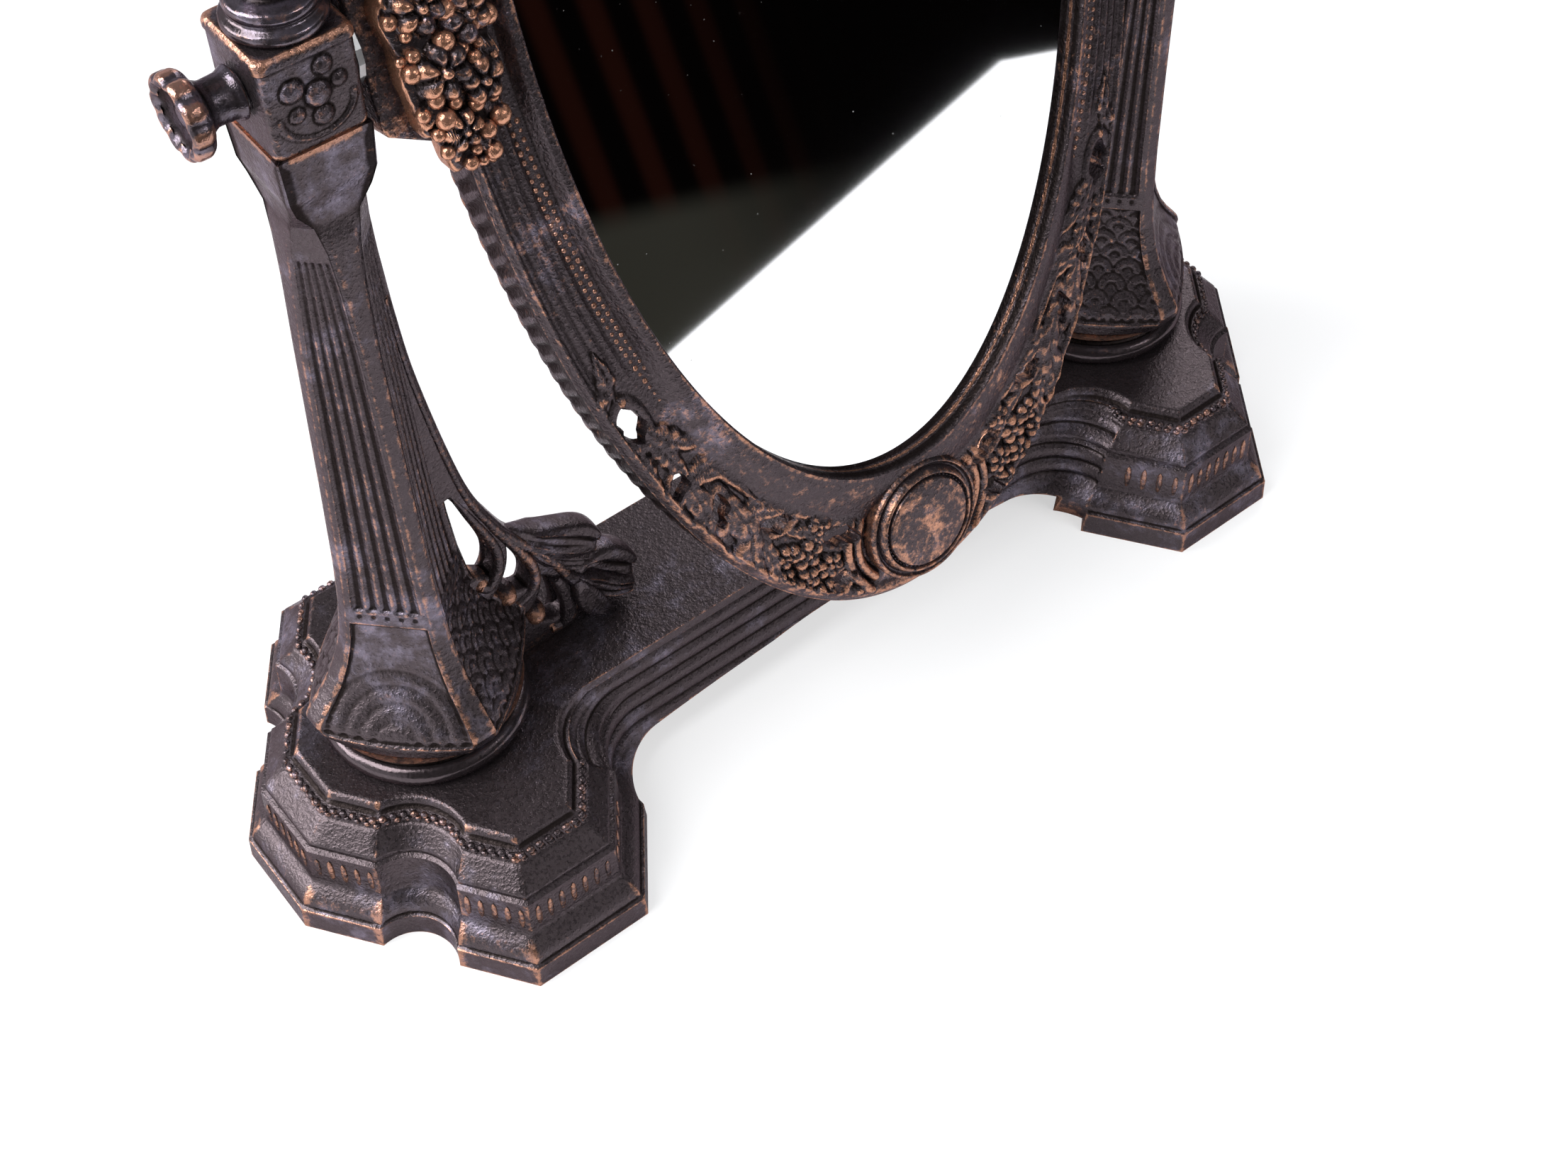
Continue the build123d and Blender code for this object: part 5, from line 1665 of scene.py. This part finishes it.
# Flower clusters: distance of the middle from the frame's, half sizes, depths of bed, rise and edge
CLUSTER_MIDDLE = 54.9
CLUSTER_HALF = (6.7, 18.8)
CLUSTER_BED, CLUSTER_RISE, CLUSTER_EDGE = 6.2, 1.5, 5.6
CLUSTER_FLOWERS = [
    ((1.9, 9.2), 4.2, 5), ((-2.4, 3.6), 3.6, 6), ((3.2, 0.6), 3.8, 5), ((-1.6, -4.8), 3.9, 6),
    ((3.0, -7.8), 3.3, 5), ((-2.0, 13.0), 2.6, 6), ((-1.2, -12.6), 2.8, 6),
]
CLUSTER_ROWS, CLUSTER_TURNS = 46, 160
CLUSTER_BERRIES, CLUSTER_TRIES = 46, 4000
BERRY_SMALLEST, BERRY_LARGEST = 0.7, 1.45
# Leaves between the flowers: slopes in degrees; length, width, height; places as shares of the half sizes
CLUSTER_SLOPES = range(10, 370, 30)
CLUSTER_LEAF, LEAF_PLACE = (5.0, 2.6, 0.9), (0.5, 0.66)


def cluster_scatter():
    """Places and sizes of the berries of a cluster, always the same."""
    picker = np.random.default_rng(12)
    made = []
    tries = 0
    while len(made) < CLUSTER_BERRIES and tries < CLUSTER_TRIES:
        tries += 1
        x, y = picker.uniform(-1, 1, 2)
        if x * x + y * y > 0.94:
            continue
        place = np.array((x * CLUSTER_HALF[0], y * CLUSTER_HALF[1]))
        reach = picker.uniform(BERRY_SMALLEST, BERRY_LARGEST)
        near = any(np.hypot(*(place - other)) < 0.85 * (reach + size) for other, size in made)
        flower = any(
            np.hypot(*(place - np.array(middle))) < size * 0.82 for middle, size, _ in CLUSTER_FLOWERS
        )
        if not near and not flower:
            made.append((place, reach))
    return made


def cluster_dome(share):
    """Depth of a cluster's bed, share of the way from its middle to its edge."""
    return CLUSTER_BED + CLUSTER_RISE * np.sqrt(np.clip(1 - share**2, 0, None))


def cluster_relief(across, up):
    """How far the flowers and leaves stand out of a cluster's bed."""
    relief = np.zeros(across.shape)
    for middle, reach, petals in CLUSTER_FLOWERS:
        relief = np.maximum(relief, flower_stamp(across, up, middle, reach, 2.2, petals, middle[1]))
    for slope in CLUSTER_SLOPES:
        turn = radians(slope)
        root = (
            CLUSTER_HALF[0] * LEAF_PLACE[0] * cos(turn), CLUSTER_HALF[1] * LEAF_PLACE[1] * sin(turn),
        )
        relief = np.maximum(relief, leaf_stamp(across, up, root, slope, *CLUSTER_LEAF))
    return relief


class MIRROR_OT_clusters(bpy.types.Operator):
    """Models the flower clusters over the lugs: petals, leaves and berries"""

    bl_idname = "mirror.clusters"
    bl_label = "Flower clusters"

    def execute(self, context):
        angles = turn_points(CLUSTER_TURNS)
        edge = 1 + 0.05 * np.sin(angles * 9) + 0.04 * np.sin(angles * 15 + 1)
        berries = cluster_scatter()
        for side, name in SIDES:
            rings = []
            for share in np.linspace(0, 1, CLUSTER_ROWS)[::-1]:
                across = CLUSTER_HALF[0] * share * np.cos(angles) * edge
                up = CLUSTER_HALF[1] * share * np.sin(angles) * edge
                depth = cluster_dome(share) + cluster_relief(across, up) if share < 1 else CLUSTER_EDGE
                rings.append(oval_point(side * (CLUSTER_MIDDLE - across), up, depth))
            base = oval_point(
                side * (CLUSTER_MIDDLE - CLUSTER_HALF[0] * 0.98 * np.cos(angles) * edge),
                CLUSTER_HALF[1] * 0.98 * np.sin(angles) * edge, FRAME_EDGE - 0.4,
            )
            points, faces = tube_of_rings([base, *rings])
            mesh_piece(
                f"flower_bed_{name}", points, faces, "mirror", "cluster_copper",
                [f"flower_cluster_{name}"], sharp=60,
            )
            balls = []
            for place, reach in berries:
                share = np.hypot(place[0] / CLUSTER_HALF[0], place[1] / CLUSTER_HALF[1])
                depth = cluster_dome(share) + reach * 0.35
                balls.append(ball(oval_point(side * (CLUSTER_MIDDLE - place[0]), place[1], depth), reach, 10))
            points, faces = joined(balls)
            mesh_piece(
                f"berries_{name}", points, faces, "mirror", "cluster_copper", sharp=70,
            )
        return {"FINISHED"}


# Screws of the back plate: head radius, thickness and half slot, and the depth of their seat
BACK_SCREWS = 4
SCREW_HEAD, SCREW_SEAT = (1.6, 1.0, 0.28), 0.88


def slotted_head(reach, thickness, slot):
    """A domed screw head about Z with a straight slot."""
    shoulder = thickness * 0.45
    profile = [(0, 0), (reach, 0), (reach, shoulder), (reach * 0.7, thickness), (0, thickness)]
    points, faces = lathe(rounded(profile, 0.2, 4), 40)
    groove = (np.abs(points[:, 0]) < slot) & (points[:, 2] > thickness * 0.6)
    points[groove, 2] -= shoulder
    return points, faces


class MIRROR_OT_back(bpy.types.Operator):
    """Makes the screws of the back plate"""

    bl_idname = "mirror.back"
    bl_label = "Back screws"

    def execute(self, context):
        head, faces = slotted_head(*SCREW_HEAD)
        reach = SIGHT + (REBATE_GROW + PLATE_GROW) / 2
        parts = []
        for number in range(BACK_SCREWS):
            turn = 2 * pi * (number + 0.5) / BACK_SCREWS
            across, up = reach[0] * cos(turn), reach[1] * sin(turn)
            parts.append((oval_point(head[:, 0] + across, head[:, 1] + up, SCREW_SEAT - head[:, 2]), faces))
        points, faces = joined(parts)
        mesh_piece(
            "slotted_screws", points, faces, "mirror", "zinc_steel", ["back_screws"], sharp=30,
        )
        return {"FINISHED"}


class MIRROR_OT_fitted_parts(bpy.types.Operator):
    """Gives every fitted part the finish of its material slot"""

    bl_idname = "mirror.fitted_parts"
    bl_label = "Fitted parts"

    def execute(self, context):
        for row in frame["record"]["subparts"]:
            piece = frame["nodes"][row["node"]]
            piece.data.materials.clear()
            piece.data.materials.append(finish(SLOT_FINISH[row["material_slot"]]))
        return {"FINISHED"}


def look_at(thing, target, roll=0.0):
    """Turns a camera or lamp towards a point."""
    thing.rotation_mode = "QUATERNION"
    thing.rotation_quaternion = (Vector(target) - thing.location).to_track_quat("-Z", "Y")
    if roll:
        thing.rotation_mode = "XYZ"
        thing.rotation_euler.rotate_axis("Z", roll)


def soft_light(name, place, target, size, power):
    """A white rectangular lamp that faces a target; places and sizes in metres."""
    lamp = bpy.data.lights.new(name, "AREA")
    lamp.shape = "RECTANGLE"
    lamp.size, lamp.size_y = size
    lamp.energy = power
    thing = linked(name, lamp)
    thing.location = place
    look_at(thing, target)


# Camera: its place and what it looks at, its roll in radians, its focal length in pixels of the picture
CAMERA_PLACE = Vector((-153.8, -195.2, 310.4)) * MM
CAMERA_TARGET = Vector((-22.1, -28.4, 42.0)) * MM
CAMERA_ROLL = -0.0045
FOCAL_PIXELS = 3140.0
PICTURE_WIDTH = 2212.0
SENSOR_WIDTH = 36.0
FLOOR_COLOUR, FLOOR_GLOW = (0.86, 0.86, 0.87), 0.55


def floor_material():
    """Matt, and to the camera partly plain white, so that shadows stay light."""
    shader = Shader(bpy.data.materials.new("pale_floor"))
    matt = shader.node("ShaderNodeBsdfDiffuse", None, {"Color": FLOOR_COLOUR})
    glow = shader.node("ShaderNodeEmission", None, {"Color": (1.0, 1.0, 1.0), "Strength": 1.0})
    return shader.end(shader.blend(shader.ray("Is Camera Ray") * FLOOR_GLOW, matt, glow))


# Dark side of the room, which only reflections see: its corners on the floor, height and stripes, in metres
ROOM_LINE = ((-0.25, -0.127), (0.283, -0.379), (0.66, 0.42))
ROOM_HEIGHT = 0.32
STRIPE_PERIOD = 0.020


def room_material():
    """Dark room: near black, with dull red stripes that hang down over a dull olive ground."""
    shader = Shader(bpy.data.materials.new("dark_room"))
    place = shader.place()
    along = shader.part(place, "X")
    height = shader.part(place, "Z")
    wave = shader.node("ShaderNodeMath", {"operation": "SINE"}, {0: along * (2 * pi / STRIPE_PERIOD)})
    left = 1.0 - shader.ramp(along, 0.10, 0.19)
    stripe = shader.ramp(wave, -0.5, 0.9) * left
    red = shader.mix(stripe, (0.0008, 0.0006, 0.0006), (0.010, 0.0028, 0.0018))
    ground = (1.0 - shader.ramp(height + along * 0.321, 0.062, 0.072)) * (0.15 + left * 0.85)
    olive = shader.mix(ground, red, (0.026, 0.025, 0.020))
    return shader.end(shader.node("ShaderNodeEmission", None, {"Color": olive, "Strength": 1.0}))


# The air's colour and its strength on matt surfaces
AIR_COLOUR, AIR_STRENGTH = (0.94, 0.96, 1.0), 0.5


def studio_air():
    """White to the camera, plain light on matt surfaces; in reflections pale low down and dark overhead."""
    shader = Shader(bpy.data.worlds.new("studio_air"), "ShaderNodeOutputWorld")
    height = shader.part(shader.node("ShaderNodeTexCoord", output="Generated"), "Z")
    overhead = {"Value": height, "From Min": 0.30, "From Max": 0.62, "To Min": 1.0, "To Max": 0.16}
    fade = shader.node("ShaderNodeMapRange", None, overhead)
    layers = ((AIR_COLOUR, AIR_STRENGTH), (AIR_COLOUR, fade), ((1.0, 1.0, 1.0), 1.0))
    plain, reflected, white = (
        shader.node("ShaderNodeBackground", None, {"Color": colour, "Strength": strength})
        for colour, strength in layers
    )
    unseen = shader.blend(shader.ray("Is Glossy Ray"), plain, reflected)
    return shader.end(shader.blend(shader.ray("Is Camera Ray"), unseen, white))


def stage_piece(name, corners, faces, material):
    """A part of the stage from its corners in metres."""
    mesh = bpy.data.meshes.new(name)
    mesh.from_pydata(corners, [], faces)
    mesh.materials.append(material)
    thing = linked(name, mesh)
    return thing


# Lamps: place, target, size, and power as a share of the key's or the fill's
KEY_LIGHT = ((-0.62, 0.05, 0.72), (-0.04, 0, 0.06), (0.55, 0.55))
OTHER_LIGHTS = {
    "fill_light": ((0.6, 0.35, 0.55), (0, 0, 0.08), (0.5, 0.4), 1.0),
    "side_light": ((-0.85, 0.50, 0.45), (-0.04, 0, 0.05), (0.6, 0.4), 4.0),
    "front_light": ((0.25, -0.8, 0.6), (0, 0, 0.08), (0.6, 0.3), 1.8),
}
FLOOR_CORNERS = ((-1, -1), (1, -1), (1, 1), (-1, 1))


class MIRROR_OT_stage(bpy.types.Operator):
    """Sets up the pale floor, the soft lights and the camera"""

    bl_idname = "mirror.stage"
    bl_label = "Stage"

    def execute(self, context):
        sizes = context.scene.mirror_stage
        corners = [(x * sizes.floor_reach, y * sizes.floor_reach, 0) for x, y in FLOOR_CORNERS]
        stage_piece("studio_floor", corners, [(0, 1, 2, 3)], floor_material())
        corners = [(x, y, z) for z in (0.0, ROOM_HEIGHT) for x, y in ROOM_LINE]
        room = stage_piece("dark_room", corners, [(0, 1, 4, 3), (1, 2, 5, 4)], room_material())
        room.visible_camera = False
        room.visible_diffuse = False
        room.visible_shadow = False
        room.visible_transmission = False

        soft_light("key_light", *KEY_LIGHT, sizes.key_power)
        for name, (place, target, size, share) in OTHER_LIGHTS.items():
            soft_light(name, place, target, size, share * sizes.fill_power)
        context.scene.world = studio_air()

        camera = linked("camera", bpy.data.cameras.new("camera"))
        camera.location = CAMERA_PLACE
        look_at(camera, CAMERA_TARGET, CAMERA_ROLL)
        camera.data.sensor_width = SENSOR_WIDTH
        camera.data.lens = SENSOR_WIDTH * FOCAL_PIXELS / PICTURE_WIDTH
        camera.data.clip_start = 0.01
        camera.data.clip_end = 20.0
        context.scene.camera = camera
        context.scene.view_settings.view_transform = "Standard"
        return {"FINISHED"}


class MIRROR_PT_panel(bpy.types.Panel):
    """Lists the steps that dress the mirror"""

    bl_idname = "MIRROR_PT_panel"
    bl_label = "Table Mirror"
    bl_space_type = "VIEW_3D"
    bl_region_type = "UI"
    bl_category = "Table Mirror"

    def draw(self, context):
        for group in (context.scene.mirror_colours, context.scene.mirror_stage):
            for name in group.__annotations__:
                self.layout.prop(group, name)
        for operator in OPERATORS:
            self.layout.operator(operator.bl_idname)


OPERATORS = (
    MIRROR_OT_fitted_parts,
    MIRROR_OT_base,
    MIRROR_OT_base_ornament,
    MIRROR_OT_collars,
    MIRROR_OT_columns,
    MIRROR_OT_brackets,
    MIRROR_OT_finials,
    MIRROR_OT_thumbscrews,
    MIRROR_OT_frame,
    MIRROR_OT_medallions,
    MIRROR_OT_clusters,
    MIRROR_OT_back,
    MIRROR_OT_stage,
)
CLASSES = (FinishColours, StageSizes, *OPERATORS, MIRROR_PT_panel)


def register():
    """Registers the classes and gives the scene its settings."""
    for item in CLASSES:
        bpy.utils.register_class(item)
    bpy.types.Scene.mirror_colours = bpy.props.PointerProperty(type=FinishColours)
    bpy.types.Scene.mirror_stage = bpy.props.PointerProperty(type=StageSizes)


def unregister():
    """Takes the settings and the classes away again."""
    del bpy.types.Scene.mirror_colours
    del bpy.types.Scene.mirror_stage
    for item in reversed(CLASSES):
        bpy.utils.unregister_class(item)


def main():
    """Makes every piece and the stage."""
    register()
    bpy.ops.mirror.fitted_parts()
    bpy.ops.mirror.base()
    bpy.ops.mirror.base_ornament()
    bpy.ops.mirror.collars()
    bpy.ops.mirror.columns()
    bpy.ops.mirror.brackets()
    bpy.ops.mirror.finials()
    bpy.ops.mirror.thumbscrews()
    bpy.ops.mirror.frame()
    bpy.ops.mirror.medallions()
    bpy.ops.mirror.clusters()
    bpy.ops.mirror.back()
    bpy.ops.mirror.stage()


if __name__ == "__main__":
    main()
